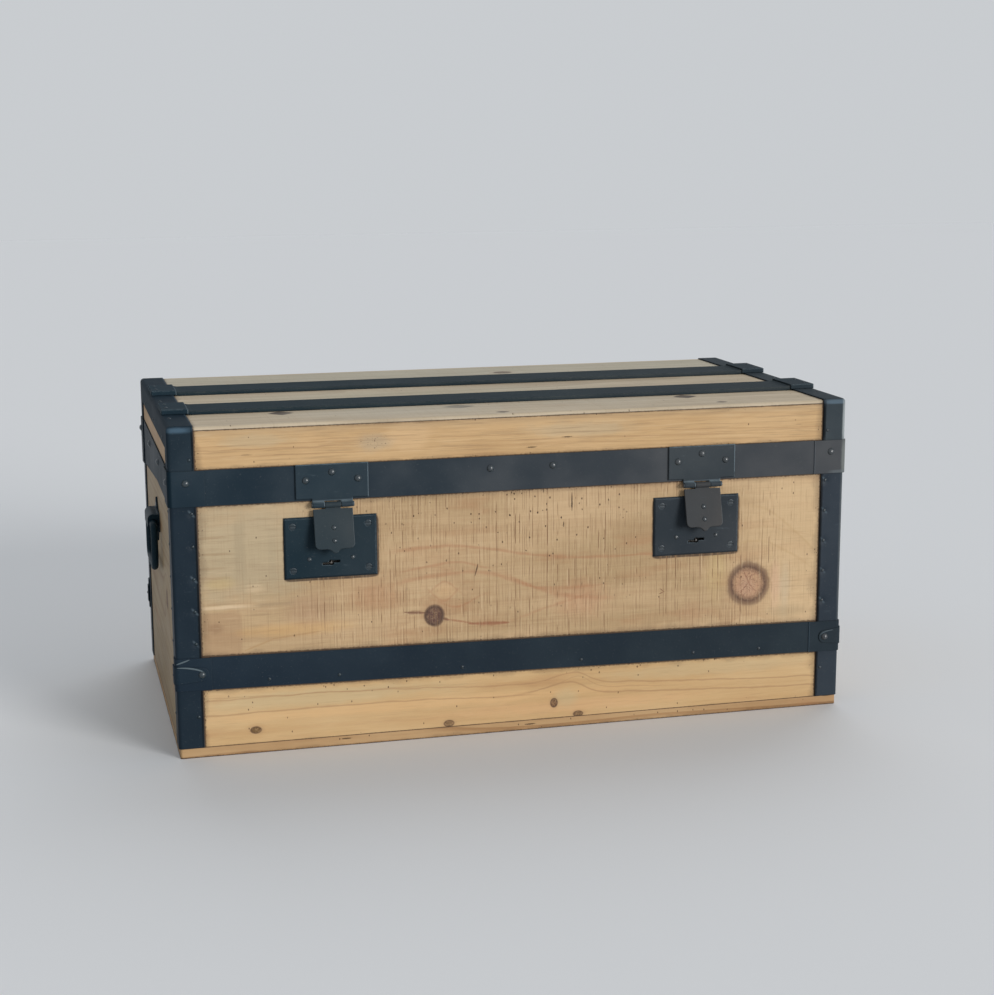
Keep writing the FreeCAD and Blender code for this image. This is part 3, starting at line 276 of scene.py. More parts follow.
def make_knot():
    """A knot: a ragged round whose rim is darkest, with cracks that run out from its centre, a halo in
    the wood about it, and the push that bends the rings nearby so that they flow round it."""
    takes = "Place:Vector Centre:Vector Radius Length Face:Vector"
    given, out = group("knot", takes, "Inside Rim Cracks Halo Push")
    place = given["Place"]
    off = vector("SUBTRACT", place, given["Centre"])
    flat = split(vector("MULTIPLY", off, given["Face"]))
    long = flat[0] / given["Length"]
    side = flat[1] + flat[2]
    squares = long * long + side * side
    away = calc("SQRT", squares) / given["Radius"]
    wobble = cloudy(scaled(place, 55), 2.0) - 0.5
    tooth = cloudy(scaled(place, 480), 3.0, 0.65) - 0.5
    ragged = tooth * 0.16 + (wobble * 0.34 + away)
    flecks = tooth * 1.7 + (wobble * 1.2 + 0.85)
    flecks = inside_range(flecks)
    link(fade(ragged, 1.1, 0.88) * flecks, out["Inside"])
    ring = fade(ragged, 0.56, 0.86) * fade(ragged, 1.22, 0.93)
    whorls = calc("SINE", ragged * 31.0) * 0.09 + 0.91
    ring = ring * (flecks * 0.4 + 0.6)
    link(ring * whorls, out["Rim"])
    angle = calc("ARCTAN2", side, long)
    spokes = put("ShaderNodeCombineXYZ", {0: angle * 2.4, 1: away * 1.6})
    cracks = fade(abs(cloudy(spokes, 3.0, 0.6) - 0.5), 0.022, 0.0)
    link(cracks * flecks * fade(away, 0.9, 0.4), out["Cracks"])
    link(fade(wobble * 1.2 + away, 1.9, 0.9), out["Halo"])
    spread = calc("EXPONENT", away * away * -0.16)
    link(side * -0.8 * spread, out["Push"])


def make_scratches():
    """Fine lines across the grain, left by a toothed scraper. The board is divided into strips, and each
    has a line at its own place in the strip, of its own strength, which wavers a little and breaks off
    here and there. Narrow strips give the fine comb, and wide ones a few stronger lines. Pale is a second
    line of each narrow strip."""
    given, out = group("scratches", "Place:Vector Gap", "Lines Pale")
    place = given["Place"]
    waver = cloudy(stretched(place, 24, 0, 22), 2.0) - 0.5
    along = waver * 0.0022 + split(place)[0]
    patches = fade(cloudy(stretched(place, 14, 0, 17), 3.0, 0.6), 0.34, 0.64)
    lines = []
    for wider, strength, breaks_at in ((1.0, 0.95, 260), (3.3, 1.15, 90)):
        strip = given["Gap"] * wider
        turn = along / strip
        count = {"W": calc("FLOOR", turn)}
        chance = put("ShaderNodeTexWhiteNoise", count, noise_dimensions="1D")
        own = put("ShaderNodeSeparateColor", {0: chance[1]})
        breaks = fade(cloudy(stretched(place, breaks_at, 0, 52), 2.0), 0.42, 0.58)
        for shift, width in ((0.2, 0.0009), (0.7, 0.0008)):
            there = calc("FRACT", own[1] * 0.6 + shift)
            off = abs(calc("FRACT", turn) - there) * strip
            line = fade(off, width, 0.0001) * breaks
            each = own[2] * own[2] * 0.75 + 0.25
            lines.append(line * (each * strength))
    dark = calc("MAXIMUM", lines[0], lines[2])
    fine = fade(cloudy(stretched(place, 900, 0, 26), 2.0, 0.7), 0.52, 0.74)
    dark = calc("MAXIMUM", dark, fine * 0.4)
    link(dark * (patches * 0.6 + 0.45), out["Lines"])
    light = calc("MAXIMUM", lines[1], lines[3] * 0.5)
    link(light * (patches * 0.6 + 0.4), out["Pale"])


def make_specks():
    """Worm holes and pitch specks: small ragged spots in some of the cells of a scattered pattern, drawn
    out by a shape that multiplies the place."""
    given, out = group("specks", "Place:Vector Shape:Vector Cell Size Share", "Spots")
    place = given["Place"]
    near = scaled(place, 1.0 / given["Cell"])
    near = vector("MULTIPLY", near, given["Shape"])
    cells = put("ShaderNodeTexVoronoi", {"Vector": near, "Scale": 1.0})
    chance = put("ShaderNodeSeparateColor", {0: cells["Color"]})
    size = given["Size"] * (chance[1] * 1.2 + 0.5)
    ragged = cloudy(scaled(place, 1100), 2.0) * 1.1 + 0.45
    spot = fade(cells["Distance"] / (size * ragged), 1.25, 0.75)
    kept = calc("LESS_THAN", chance[0], given["Share"])
    link(spot * kept, out["Spots"])


def make_grime_and_shade():
    """Dirt that has gathered along a fitting's edge, and painted shade where the fitting stands proud of the
    board: strongest at no distance, gone at a ragged reach.
    """
    given, out = group("grime_and_shade", "Place:Vector Distance Reach", "Dirt")
    place = given["Place"]
    slow = cloudy(scaled(place, 40), 2.0)
    fine = cloudy(scaled(place, 420), 3.0, 0.7)
    uneven = calc("MINIMUM", 0.0036, given["Reach"] * 0.7)
    away = (fine - 0.5) * uneven + given["Distance"]
    thick = calc("MINIMUM", 0.0028, given["Reach"] * 0.5)
    line = fade(away, thick, thick * 0.3)
    wide = given["Reach"] * (slow * 3.6 - 0.6)
    soft = fade(away, wide, 0.0) * 0.42
    bits = fade(fine, 0.6, 0.68) * fade(away, wide, wide * 0.4)
    link(calc("MAXIMUM", line, calc("MAXIMUM", soft, bits)), out["Dirt"])


def make_patch():
    """A stained or rubbed patch: a round, or with a high corner power a square, whose outline is
    ragged."""
    given, out = group("patch", "Place:Vector Centre:Vector Across:Vector Power Ragged Soft", "Inside")
    place = given["Place"]
    off = vector("SUBTRACT", place, given["Centre"])
    parts = split(vector("DIVIDE", off, given["Across"]))
    terms = [abs(each) ** given["Power"] for each in parts]
    total = terms[0] + terms[1] + terms[2]
    away = total ** (1.0 / given["Power"])
    wobble = cloudy(stretched(place, 45, 90, 90), 4.0, 0.65) - 0.5
    away = wobble * given["Ragged"] + away
    link(fade(away, given["Soft"] + 1.0, 1.0 - given["Soft"]), out["Inside"])


def make_streak():
    """A coloured streak between two points: ragged, widest in its middle and fading at its ends."""
    given, out = group("streak", "Place:Vector Start:Vector Finish:Vector Width", "Inside")
    place = given["Place"]
    off = vector("SUBTRACT", place, given["Start"])
    run = vector("SUBTRACT", given["Finish"], given["Start"])
    along = dot(off, run)
    whole = dot(run, run)
    share = inside_range(along / whole)
    gone = vector("SUBTRACT", off, scaled(run, share))
    away = vector("LENGTH", gone)["Value"]
    bulge = share * (1.0 - share) * 4.0
    ragged = cloudy(stretched(place, 90, 0, 190), 3.0, 0.7) * 2.0 - 0.2
    width = given["Width"] * ragged * (bulge * 0.75 + 0.25)
    link(fade(away, width, 0.0), out["Inside"])


ARCH_VALUES = ("Level", "Rise", "Peak", "Height", "Before", "After", "Width", "From", "To")


def make_arch():
    """One growth line: it runs along the board at a level, with a rise, and arches over its peak as a
    bell that may be wider before the peak than after it. It is thin, uneven, and fades out beyond its two
    ends."""
    given, out = group("arch", " ".join(("Place:Vector", *ARCH_VALUES)), "Inside")
    place = given["Place"]
    parts = split(place)
    along = parts[0] - given["Peak"]
    later = calc("GREATER_THAN", along, 0.0)
    reach = later * (given["After"] - given["Before"]) + given["Before"]
    out_of = along / reach
    bell = calc("EXPONENT", out_of * out_of * -1.0)
    line = parts[0] * given["Rise"] + given["Level"]
    line = bell * given["Height"] + line
    wander = cloudy(stretched(place, 28, 0, 12), 2.0) - 0.5
    line = wander * 0.004 + line
    uneven = cloudy(stretched(place, 40, 0, 90), 3.0, 0.65) * 2.4 - 0.3
    away = abs(parts[2] - line)
    inside = fade(away, given["Width"] * uneven, 0.0)
    begun = fade(parts[0] - given["From"], -0.02, 0.02)
    ended = fade(parts[0] - given["To"], 0.02, -0.02)
    link(inside * begun * ended, out["Inside"])


make_grain()
make_knot()
make_scratches()
make_specks()
make_grime_and_shade()
make_patch()
make_streak()
make_arch()


def patch(place, centre, across, power, ragged, soft):
    """How far inside a patch a place is, from 0 to 1."""
    values = {"Centre": centre, "Across": across, "Power": power, "Ragged": ragged, "Soft": soft}
    return use("patch", Place=place, **values)["Inside"]


def wood(
    name, face, skin, grain, early, late, tone, blush, specks,
    borders=(), knots=(), patches=(), rubs=(), arches=(), streaks=(), scratches=None, turned=False,
):
    """A board's finish: grain about its heart, then patches, growth lines, streaks, knots, scratches,
    specks, and dirt with painted shade along its borders. face has 1 for each coordinate that runs along
    the board's face. skin is how far its outer faces are from the middle, and up: dirt and painted shade
    are only on these, and scratches are weak on the others.
    turned is for boards that run front to back. A row of each list gives:
    borders: normal, offset, reach; a place's distance from it is place dotted with normal, plus offset
    knots: centre, radius, length, fill, fill share, rim share
    patches: centre, half sizes, corner power, ragged, soft, colour, share
    rubs, fine lines along the grain: centre, half sizes, share
    arches, growth lines: the values of ARCH_VALUES, colour, share
    streaks: start, finish, width, colour, share
    specks: shape, cell, size, share of cells, crowd centre, crowd half sizes, least crowd
    scratches is one row: amount, from, to."""
    made, shader = new_material(name, Specular_IOR_Level=0.12)
    own = put("ShaderNodeTexCoord", {}, made.node_tree)["Object"]
    parts = split(own)
    place = own
    if turned:
        place = put("ShaderNodeCombineXYZ", {0: parts[1] + parts[0], 1: abs(parts[0]), 2: parts[2]})
    skin_x, skin_y, skin_z = skin
    beyond = calc("MAXIMUM", abs(parts[0]) - skin_x, abs(parts[1]) - skin_y)
    beyond = calc("MAXIMUM", beyond, parts[2] - skin_z)
    outer = fade(beyond, -0.0012, -0.0004)
    push = 0.0
    knotted = []
    for centre, radius, length, *fill in knots:
        knot = use("knot", Place=place, Centre=centre, Radius=radius, Length=length, Face=face)
        push = knot["Push"] + push
        knotted.append((knot, *fill))
    rings = use("grain", Place=place, Push=push, Early=(*early, 1), Late=(*late, 1), **grain)
    colour = rings["Colour"]
    height = rings["Height"]
    clouds = cloudy(stretched(place, 5, 17, 17), 4.0, 0.6)
    colour = mixed(fade(clouds, 0.3, 0.72), colour, tone, "MULTIPLY")
    red = fade(cloudy(stretched(place, 8, 34, 34), 3.0, 0.6), 0.54, 0.74)
    colour = mixed(red * blush, colour, (0.36, 0.17, 0.085))
    for *shape, stain, share in patches:
        colour = mixed(patch(own, *shape) * outer * share, colour, stain)
    for centre, across, share in rubs:
        inside = patch(own, centre, across, 3.0, 1.2, 0.5) * share
        lying = cloudy(stretched(place, 22, 520, 520), 4.0, 0.65)
        dark = fade(lying, 0.5, 0.7) * inside
        light = fade(lying, 0.46, 0.3) * (inside * 0.6)
        colour = mixed(dark, colour, (0.26, 0.175, 0.1))
        colour = mixed(light, colour, (0.68, 0.53, 0.34))
    for *values, stain, share in arches:
        inside = use("arch", Place=place, **dict(zip(ARCH_VALUES, values)))["Inside"]
        colour = mixed(inside * share, colour, stain)
    for start, finish, width, stain, share in streaks:
        inside = use("streak", Place=own, Start=start, Finish=finish, Width=width)["Inside"]
        colour = mixed(inside * share, colour, stain)
    for knot, fill, fill_share, rim_share in knotted:
        colour = mixed(knot["Halo"] * 0.22, colour, (0.33, 0.18, 0.1))
        colour = mixed(knot["Inside"] * fill_share, colour, fill)
        colour = mixed(knot["Rim"] * rim_share, colour, (0.085, 0.05, 0.038))
        colour = mixed(knot["Cracks"] * 0.75, colour, (0.1, 0.045, 0.03))
        height = knot["Cracks"] * -1.5 + height
    if scratches:
        amount, low, high = scratches
        lines = use("scratches", Place=place, Gap=0.0031)
        wavy = cloudy(stretched(place, 0, 0, 25), 3.0) * 0.05 + split(place)[0]
        inside = fade(wavy, low, low + 0.05) * fade(wavy, high + 0.1, high)
        inside = (inside * 0.8 + 0.2) * amount
        inside = inside * (outer * 0.7 + 0.3)
        dark = lines["Lines"] * inside
        light = lines["Pale"] * (inside * 0.5)
        colour = mixed(light, colour, (0.66, 0.5, 0.32))
        colour = mixed(dark, colour, (0.235, 0.14, 0.075))
        height = dark * -1.2 + height
    for shape, cell, size, share, centre, across, least in specks:
        spots = use("specks", Place=place, Shape=shape, Cell=cell, Size=size, Share=share)["Spots"]
        spots = spots * calc("MAXIMUM", patch(own, centre, across, 2.0, 1.2, 0.6), least)
        colour = mixed(spots * 0.78, colour, (0.04, 0.022, 0.014))
        height = spots * -1.5 + height
    # Dirt and painted shade along each border, where a fitting or joint meets the board.
    for normal, offset, reach in borders:
        dirt_and_shade = use("grime_and_shade", Place=place, Distance=dot(own, normal) + offset, Reach=reach)["Dirt"] * outer
        colour = mixed(dirt_and_shade * 0.88, colour, (0.045, 0.027, 0.02))
    link(colour, shader.inputs["Base Color"])
    rough = cloudy(stretched(place, 20, 60, 60), 2.0) * 0.22 + 0.42
    link(rough, shader.inputs["Roughness"])
    bump = put("ShaderNodeBump", {"Height": height, "Strength": 0.4, "Distance": 0.0004})
    link(bump, shader.inputs["Normal"])
    return made


def pairs(*names):
    """The names of the left and right pieces."""
    return [f"{name}_{side}" for name in names for side in ("left", "right")]


def finish_with(material, *names):
    """Gives CAD pieces their finish."""
    for name in names:
        for each in nodes[name].material_slots:
            each.material = material


def on_front(*rows):
    """Patches on the front: each row gives x, z, half width and half height, and then the rest of the
    patch."""
    return [((x, FRONT, z), (wide, FAR, high), *rest) for x, z, wide, high, *rest in rows]


def across_front(*rows):
    """Streaks on the front: each row gives x and z of the start and of the finish, and then the rest."""
    return [((x, FRONT, z), (to_x, FRONT, to_z), *rest) for x, z, to_x, to_z, *rest in rows]


FRONT = -0.1808
IRON_EDGE = 0.3155
LID_IRON_EDGE = 0.3161
STRAP_FALL = math.tan(math.radians(0.8))
FAR = 1000
REDDISH = (0.36, 0.165, 0.085)
TINY = ((1, 0.4, 0.5), 0.0042, 0.085)
UPRIGHT = ((1, 0.4, 0.2), 0.01, 0.05)
LYING = ((0.13, 0.4, 1), 0.006, 0.07)
PIT = ((1, 0.4, 0.7), 0.004, 0.115)
EVEN = ((0, 0, 0), (0.001, 0.001, 0.001), 1.0)
RED_CRACK = (0.15, 0.055, 0.035)
front_upper = wood(
    "pine_front_upper",
    face=(1, 0, 1),
    skin=(9, -FRONT, 9),
    grain=dict(
        Heart=(0, -0.045, 0.15), Ring=0.0125, Lean=0.02, Wander=0.024,
        Thin=0.62, Strength=0.32, Fibre=0.55,
    ),
    early=(0.545, 0.388, 0.228),
    late=(0.33, 0.175, 0.09),
    tone=(0.76, 0.75, 0.7),
    blush=0.4,
    knots=[
        ((-0.0887, FRONT, 0.1245), 0.01, 0.96, (0.085, 0.042, 0.04), 0.97, 1.0),
        ((0.2388, FRONT, 0.1355), 0.021, 1.0, (0.44, 0.245, 0.155), 0.75, 0.9),
    ],
    arches=[
        (0.173, 0.0, -0.08, 0.0205, 0.12, 0.085, 0.003, -0.125, 0.15, REDDISH, 0.46),
        (0.165, 0.0, -0.066, 0.012, 0.06, 0.03, 0.0024, -0.12, -0.035, REDDISH, 0.42),
        (0.131, 0.0, -0.055, 0.0355, 0.15, 0.075, 0.004, -0.125, 0.09, REDDISH, 0.43),
        (0.1445, 0.0, -0.03, 0.022, 0.06, 0.03, 0.0036, -0.01, 0.08, REDDISH, 0.42),
        (0.139, 0.0, -0.078, 0.019, 0.018, 0.016, 0.0022, -0.09, -0.066, REDDISH, 0.45),
        (0.16, 0.0, -0.078, -0.0205, 0.018, 0.016, 0.0022, -0.09, -0.066, REDDISH, 0.45),
        (0.145, 0.0, -0.066, -0.013, 0.02, 0.02, 0.0022, -0.08, -0.042, REDDISH, 0.5),
        (0.118, 0.28, 0.0, 0.0, 0.05, 0.05, 0.0026, -0.005, 0.07, REDDISH, 0.3),
        (0.1, 0.0, 0.235, 0.117, 0.09, 0.1, 0.003, 0.235, 0.32, (0.45, 0.3, 0.15), 0.32),
        (0.078, 0.0, 0.24, 0.102, 0.095, 0.11, 0.003, 0.225, 0.305, (0.45, 0.3, 0.15), 0.35),
        (0.178, 0.0, 0.25, 0.016, 0.06, 0.05, 0.0022, 0.22, 0.31, (0.42, 0.27, 0.14), 0.25),
    ],
    patches=on_front(
        (-0.27, 0.2, 0.06, 0.045, 3.0, 1.0, 0.5, (0.43, 0.355, 0.235), 0.72),
        (-0.2765, 0.202, 0.005, 0.03, 4.0, 1.1, 0.6, (0.32, 0.255, 0.165), 0.36),
        (-0.245, 0.192, 0.0035, 0.024, 4.0, 1.1, 0.6, (0.36, 0.29, 0.19), 0.28),
        (-0.303, 0.215, 0.016, 0.0014, 3.0, 1.4, 0.5, (0.34, 0.24, 0.14), 0.5),
        (-0.3, 0.199, 0.017, 0.0013, 3.0, 1.4, 0.5, (0.34, 0.24, 0.14), 0.5),
        (-0.303, 0.185, 0.016, 0.0013, 3.0, 1.4, 0.5, (0.34, 0.24, 0.14), 0.45),
        (-0.303, 0.176, 0.015, 0.0012, 3.0, 1.4, 0.5, (0.34, 0.24, 0.14), 0.45),
        (-0.2955, 0.17, 0.013, 0.0055, 2.0, 1.0, 0.6, (0.53, 0.385, 0.15), 0.3),
        (-0.247, 0.147, 0.016, 0.0016, 3.0, 1.2, 0.5, (0.33, 0.235, 0.14), 0.5),
        (-0.249, 0.156, 0.014, 0.0012, 3.0, 1.2, 0.5, (0.38, 0.28, 0.16), 0.4),
        (-0.2945, 0.1205, 0.0185, 0.0215, 9.0, 0.25, 0.1, (0.37, 0.235, 0.135), 0.55),
        (-0.301, 0.127, 0.006, 0.005, 2.0, 1.2, 0.6, (0.27, 0.16, 0.09), 0.5),
        (-0.2915, 0.1467, 0.022, 0.0019, 3.0, 0.9, 0.6, (0.7, 0.54, 0.36), 0.62),
        (-0.262, 0.163, 0.008, 0.004, 2.0, 1.6, 0.7, (0.66, 0.49, 0.31), 0.36),
        (-0.225, 0.121, 0.046, 0.006, 2.0, 1.0, 0.6, (0.6, 0.37, 0.16), 0.5),
        (-0.21, 0.139, 0.022, 0.014, 2.0, 0.9, 0.6, (0.37, 0.22, 0.14), 0.38),
        (-0.145, 0.147, 0.024, 0.013, 2.0, 0.9, 0.6, REDDISH, 0.4),
        (0.062, 0.13, 0.022, 0.016, 2.0, 0.9, 0.7, (0.46, 0.24, 0.14), 0.42),
        (-0.077, 0.149, 0.01, 0.007, 2.0, 0.5, 0.5, (0.58, 0.36, 0.19), 0.35),
        (0.285, 0.16, 0.055, 0.1, 2.0, 0.5, 0.5, (0.64, 0.46, 0.265), 0.5),
        (0.2685, 0.133, 0.0045, 0.022, 2.0, 1.2, 0.8, (0.66, 0.42, 0.3), 0.4),
        (0.2372, 0.132, 0.0075, 0.0085, 2.0, 0.9, 0.8, (0.6, 0.45, 0.33), 0.7),
        (0.279, 0.128, 0.005, 0.024, 2.0, 1.2, 0.8, (0.46, 0.42, 0.33), 0.28),
        (0.205, 0.15, 0.01, 0.022, 2.0, 1.2, 0.8, (0.6, 0.47, 0.2), 0.25),
        (0.177, 0.108, 0.01, 0.013, 2.0, 1.0, 0.6, (0.42, 0.26, 0.15), 0.35),
        (0.283, 0.104, 0.018, 0.006, 2.0, 1.2, 0.6, (0.36, 0.27, 0.16), 0.4),
        # Painted shadow: dark squares a little larger than the lock plates, round their edges.
        (-0.1885, 0.1985, 0.0464, 0.0311, 16.0, 0.05, 0.022, (0.055, 0.036, 0.027), 0.9),
        (0.1814, 0.1985, 0.0464, 0.0311, 16.0, 0.05, 0.022, (0.055, 0.036, 0.027), 0.9),
    ),
    rubs=on_front(
        (-0.275, 0.19, 0.05, 0.06, 0.34),
        (0.0, 0.12, 0.36, 0.05, 0.2),
        (0.28, 0.19, 0.05, 0.07, 0.2),
    ),
    streaks=across_front(
        (-0.118, 0.13, -0.097, 0.128, 0.0034, (0.16, 0.075, 0.05), 0.9),
        (-0.08, 0.1215, -0.074, 0.119, 0.0034, (0.14, 0.065, 0.045), 0.9),
        (-0.076, 0.12, -0.05, 0.1145, 0.0026, (0.3, 0.13, 0.07), 0.7),
        (-0.054, 0.114, -0.013, 0.1125, 0.0044, (0.27, 0.11, 0.06), 0.85),
        (-0.274, 0.103, -0.245, 0.113, 0.0022, (0.4, 0.25, 0.12), 0.6),
        (-0.247, 0.113, -0.2, 0.117, 0.0024, (0.38, 0.23, 0.11), 0.6),
        (0.0514, 0.24, 0.0515, 0.2215, 0.0017, (0.04, 0.022, 0.015), 0.95),
        (-0.0442, 0.174, -0.0474, 0.162, 0.0017, (0.05, 0.028, 0.018), 0.95),
        (0.233, 0.151, 0.2412, 0.133, 0.0017, RED_CRACK, 0.9),
        (0.2405, 0.135, 0.246, 0.1275, 0.0016, RED_CRACK, 0.9),
        (0.2385, 0.142, 0.247, 0.1455, 0.0014, RED_CRACK, 0.8),
        (0.24, 0.137, 0.23, 0.126, 0.0013, RED_CRACK, 0.7),
        (0.144, 0.1365, 0.149, 0.1325, 0.0012, RED_CRACK, 0.8),
        (0.148, 0.133, 0.143, 0.1308, 0.0012, RED_CRACK, 0.8),
    ),
    scratches=(1.0, -0.215, 0.24),
    specks=[
        (*PIT, 0.5, (-0.02, FRONT, 0.23), (0.15, FAR, 0.02), 0.0),
        (*PIT, 0.14, (0.03, FRONT, 0.185), (0.13, FAR, 0.05), 0.0),
        (*TINY, 0.12, *EVEN),
        (*UPRIGHT, 0.3, (0.02, FRONT, 0.2), (0.2, FAR, 0.06), 0.12),
    ],
    borders=[
        ((1, 0, 0), IRON_EDGE, 0.008),
        ((-1, 0, 0), IRON_EDGE, 0.009),
        ((0, 0, -1), 0.246, 0.005),
        ((STRAP_FALL, 0, 1), -0.095, 0.005),
    ],
)
finish_with(front_upper, "front_board_upper")
GROWTH = (0.36, 0.215, 0.11)
front_lower = wood(
    "pine_front_lower",
    face=(1, 0, 1),
    skin=(9, -FRONT, 9),
    grain=dict(
        Heart=(0.0, -0.1, -0.03), Ring=0.0085, Lean=0.008, Wander=0.014,
        Thin=0.5, Strength=0.14, Fibre=0.36,
    ),
    early=(0.6, 0.42, 0.225),
    late=(0.4, 0.215, 0.095),
    tone=(0.9, 0.85, 0.78),
    blush=0.3,
    knots=[
        ((-0.266, FRONT, 0.0231), 0.0036, 1.5, (0.13, 0.075, 0.03), 0.9, 0.6),
        ((0.0332, FRONT, 0.0258), 0.0046, 0.8, (0.12, 0.055, 0.03), 0.95, 0.8),
        ((-0.075, FRONT, 0.0135), 0.0034, 1.5, (0.11, 0.06, 0.03), 0.8, 0.6),
        ((0.0584, FRONT, 0.0125), 0.003, 1.7, (0.11, 0.06, 0.03), 0.85, 0.6),
    ],
    arches=[
        (0.0478, -0.02, -0.19, 0.004, 0.1, 0.1, 0.0013, -0.33, 0.02, GROWTH, 0.55),
        (0.047, -0.048, 0.054, 0.0115, 0.03, 0.02, 0.0015, 0.0, 0.33, GROWTH, 0.6),
        (0.036, -0.012, -0.16, 0.003, 0.12, 0.12, 0.0014, -0.33, 0.01, GROWTH, 0.6),
        (0.0365, -0.045, 0.05, 0.012, 0.034, 0.019, 0.0017, 0.0, 0.33, GROWTH, 0.65),
        (0.042, -0.046, 0.058, 0.012, 0.022, 0.016, 0.001, 0.02, 0.15, GROWTH, 0.4),
        (0.052, -0.018, -0.2, 0.0, 0.05, 0.05, 0.0009, -0.33, -0.08, GROWTH, 0.35),
    ],
    rubs=on_front((0.0, 0.03, 0.5, 0.08, 0.16)),
    patches=on_front(
        (-0.2, 0.052, 0.11, 0.008, 2.0, 1.2, 0.5, (0.52, 0.42, 0.25), 0.5),
        (-0.1, 0.036, 0.2, 0.005, 2.0, 1.2, 0.5, (0.66, 0.42, 0.21), 0.5),
        (0.2, 0.05, 0.1, 0.007, 2.0, 1.2, 0.5, (0.5, 0.4, 0.24), 0.4),
        (0.05, 0.022, 0.12, 0.006, 2.0, 1.2, 0.5, (0.62, 0.38, 0.2), 0.5),
        (0.046, 0.03, 0.012, 0.009, 2.0, 0.9, 0.6, (0.47, 0.4, 0.24), 0.4),
    ),
    specks=[
        (*LYING, 0.12, *EVEN),
        (*TINY, 0.12, *EVEN),
        (*PIT, 0.25, (0.0, FRONT, 0.058), (0.35, FAR, 0.006), 0.0),
    ],
    borders=[
        ((1, 0, 0), IRON_EDGE, 0.007),
        ((-1, 0, 0), IRON_EDGE, 0.008),
        ((-STRAP_FALL, 0, -1), 0.0628, 0.005),
        ((0, 0, 1), -0.0101, 0.0009),
    ],
)
finish_with(front_lower, "front_board_lower")
base_wood = wood(
    "pine_base",
    face=(1, 1, 0),
    skin=(0.3388, 0.1808, 9),
    grain=dict(
        Heart=(0.0, 0.06, -0.12), Ring=0.005, Lean=0.01, Wander=0.02,
        Thin=0.5, Strength=0.7, Fibre=0.5,
    ),
    early=(0.5, 0.335, 0.18),
    late=(0.3, 0.165, 0.075),
    tone=(0.8, 0.74, 0.68),
    blush=0.3,
    specks=[
        (*LYING, 0.25, *EVEN),
        (*TINY, 0.2, *EVEN),
    ],
    borders=[((0, 0, -1), 0.0099, 0.0008), ((0, 0, 1), 0.0, 0.003)],
)
finish_with(base_wood, "base_board")
plain_wood = wood(
    "pine_back",
    face=(1, 0, 1),
    skin=(9, -FRONT, 9),
    grain=dict(
        Heart=(0, 0.125, 0.115), Ring=0.0085, Lean=0.016, Wander=0.01,
        Thin=0.55, Strength=0.65, Fibre=0.5,
    ),
    early=(0.52, 0.37, 0.213),
    late=(0.34, 0.19, 0.095),
    tone=(0.84, 0.82, 0.78),
    blush=0.35,
    knots=[
        ((0.155, -FRONT, 0.172), 0.011, 1.2, (0.2, 0.11, 0.07), 0.7, 0.8),
        ((-0.105, -FRONT, 0.138), 0.007, 1.1, (0.12, 0.062, 0.043), 0.85, 0.75),
        ((-0.24, -FRONT, 0.196), 0.006, 1.2, (0.12, 0.062, 0.043), 0.8, 0.75),
    ],
    scratches=(0.4, -0.3, 0.25),
    specks=[
        (*TINY, 0.2, (0.05, 0, 0.15), (0.15, FAR, 0.1), 0.3),
        (*UPRIGHT, 0.12, (0, 0, 0.1), (0.3, FAR, 0.2), 0.2),
    ],
    borders=[
        ((1, 0, 0), IRON_EDGE, 0.004),
        ((-1, 0, 0), IRON_EDGE, 0.004),
        ((0, 0, 1), -0.0101, 0.0015),
    ],
)
finish_with(plain_wood, "back_board")
end_wood = wood(
    "pine_ends",
    turned=True,
    face=(1, 0, 1),
    skin=(0.3388, 9, 9),
    grain=dict(
        Heart=(0, 0.285, 0.125), Ring=0.008, Lean=0.02, Wander=0.01,
        Thin=0.5, Strength=0.6, Fibre=0.5,
    ),
    early=(0.365, 0.28, 0.172),
    late=(0.24, 0.15, 0.085),
    tone=(0.8, 0.78, 0.74),
    blush=0.35,
    knots=[
        ((-0.4238, 0.3388, 0.135), 0.009, 1.1, (0.12, 0.062, 0.043), 0.85, 0.75),
        ((0.4288, 0.3388, 0.16), 0.0075, 1.2, (0.12, 0.062, 0.043), 0.85, 0.75),
    ],
    scratches=(0.4, -0.6, 0.6),
    specks=[
        (*TINY, 0.2, (0, 0, 0.15), (FAR, 0.1, 0.1), 0.3),
        (*UPRIGHT, 0.12, (0, 0, 0.1), (FAR, 0.2, 0.2), 0.2),
    ],
    borders=[
        ((0, 1, 0), 0.1575, 0.005),
        ((0, -1, 0), 0.1575, 0.005),
        ((0, 0, 1), -0.0101, 0.0015),
    ],
)
finish_with(end_wood, *pairs("end_board"))


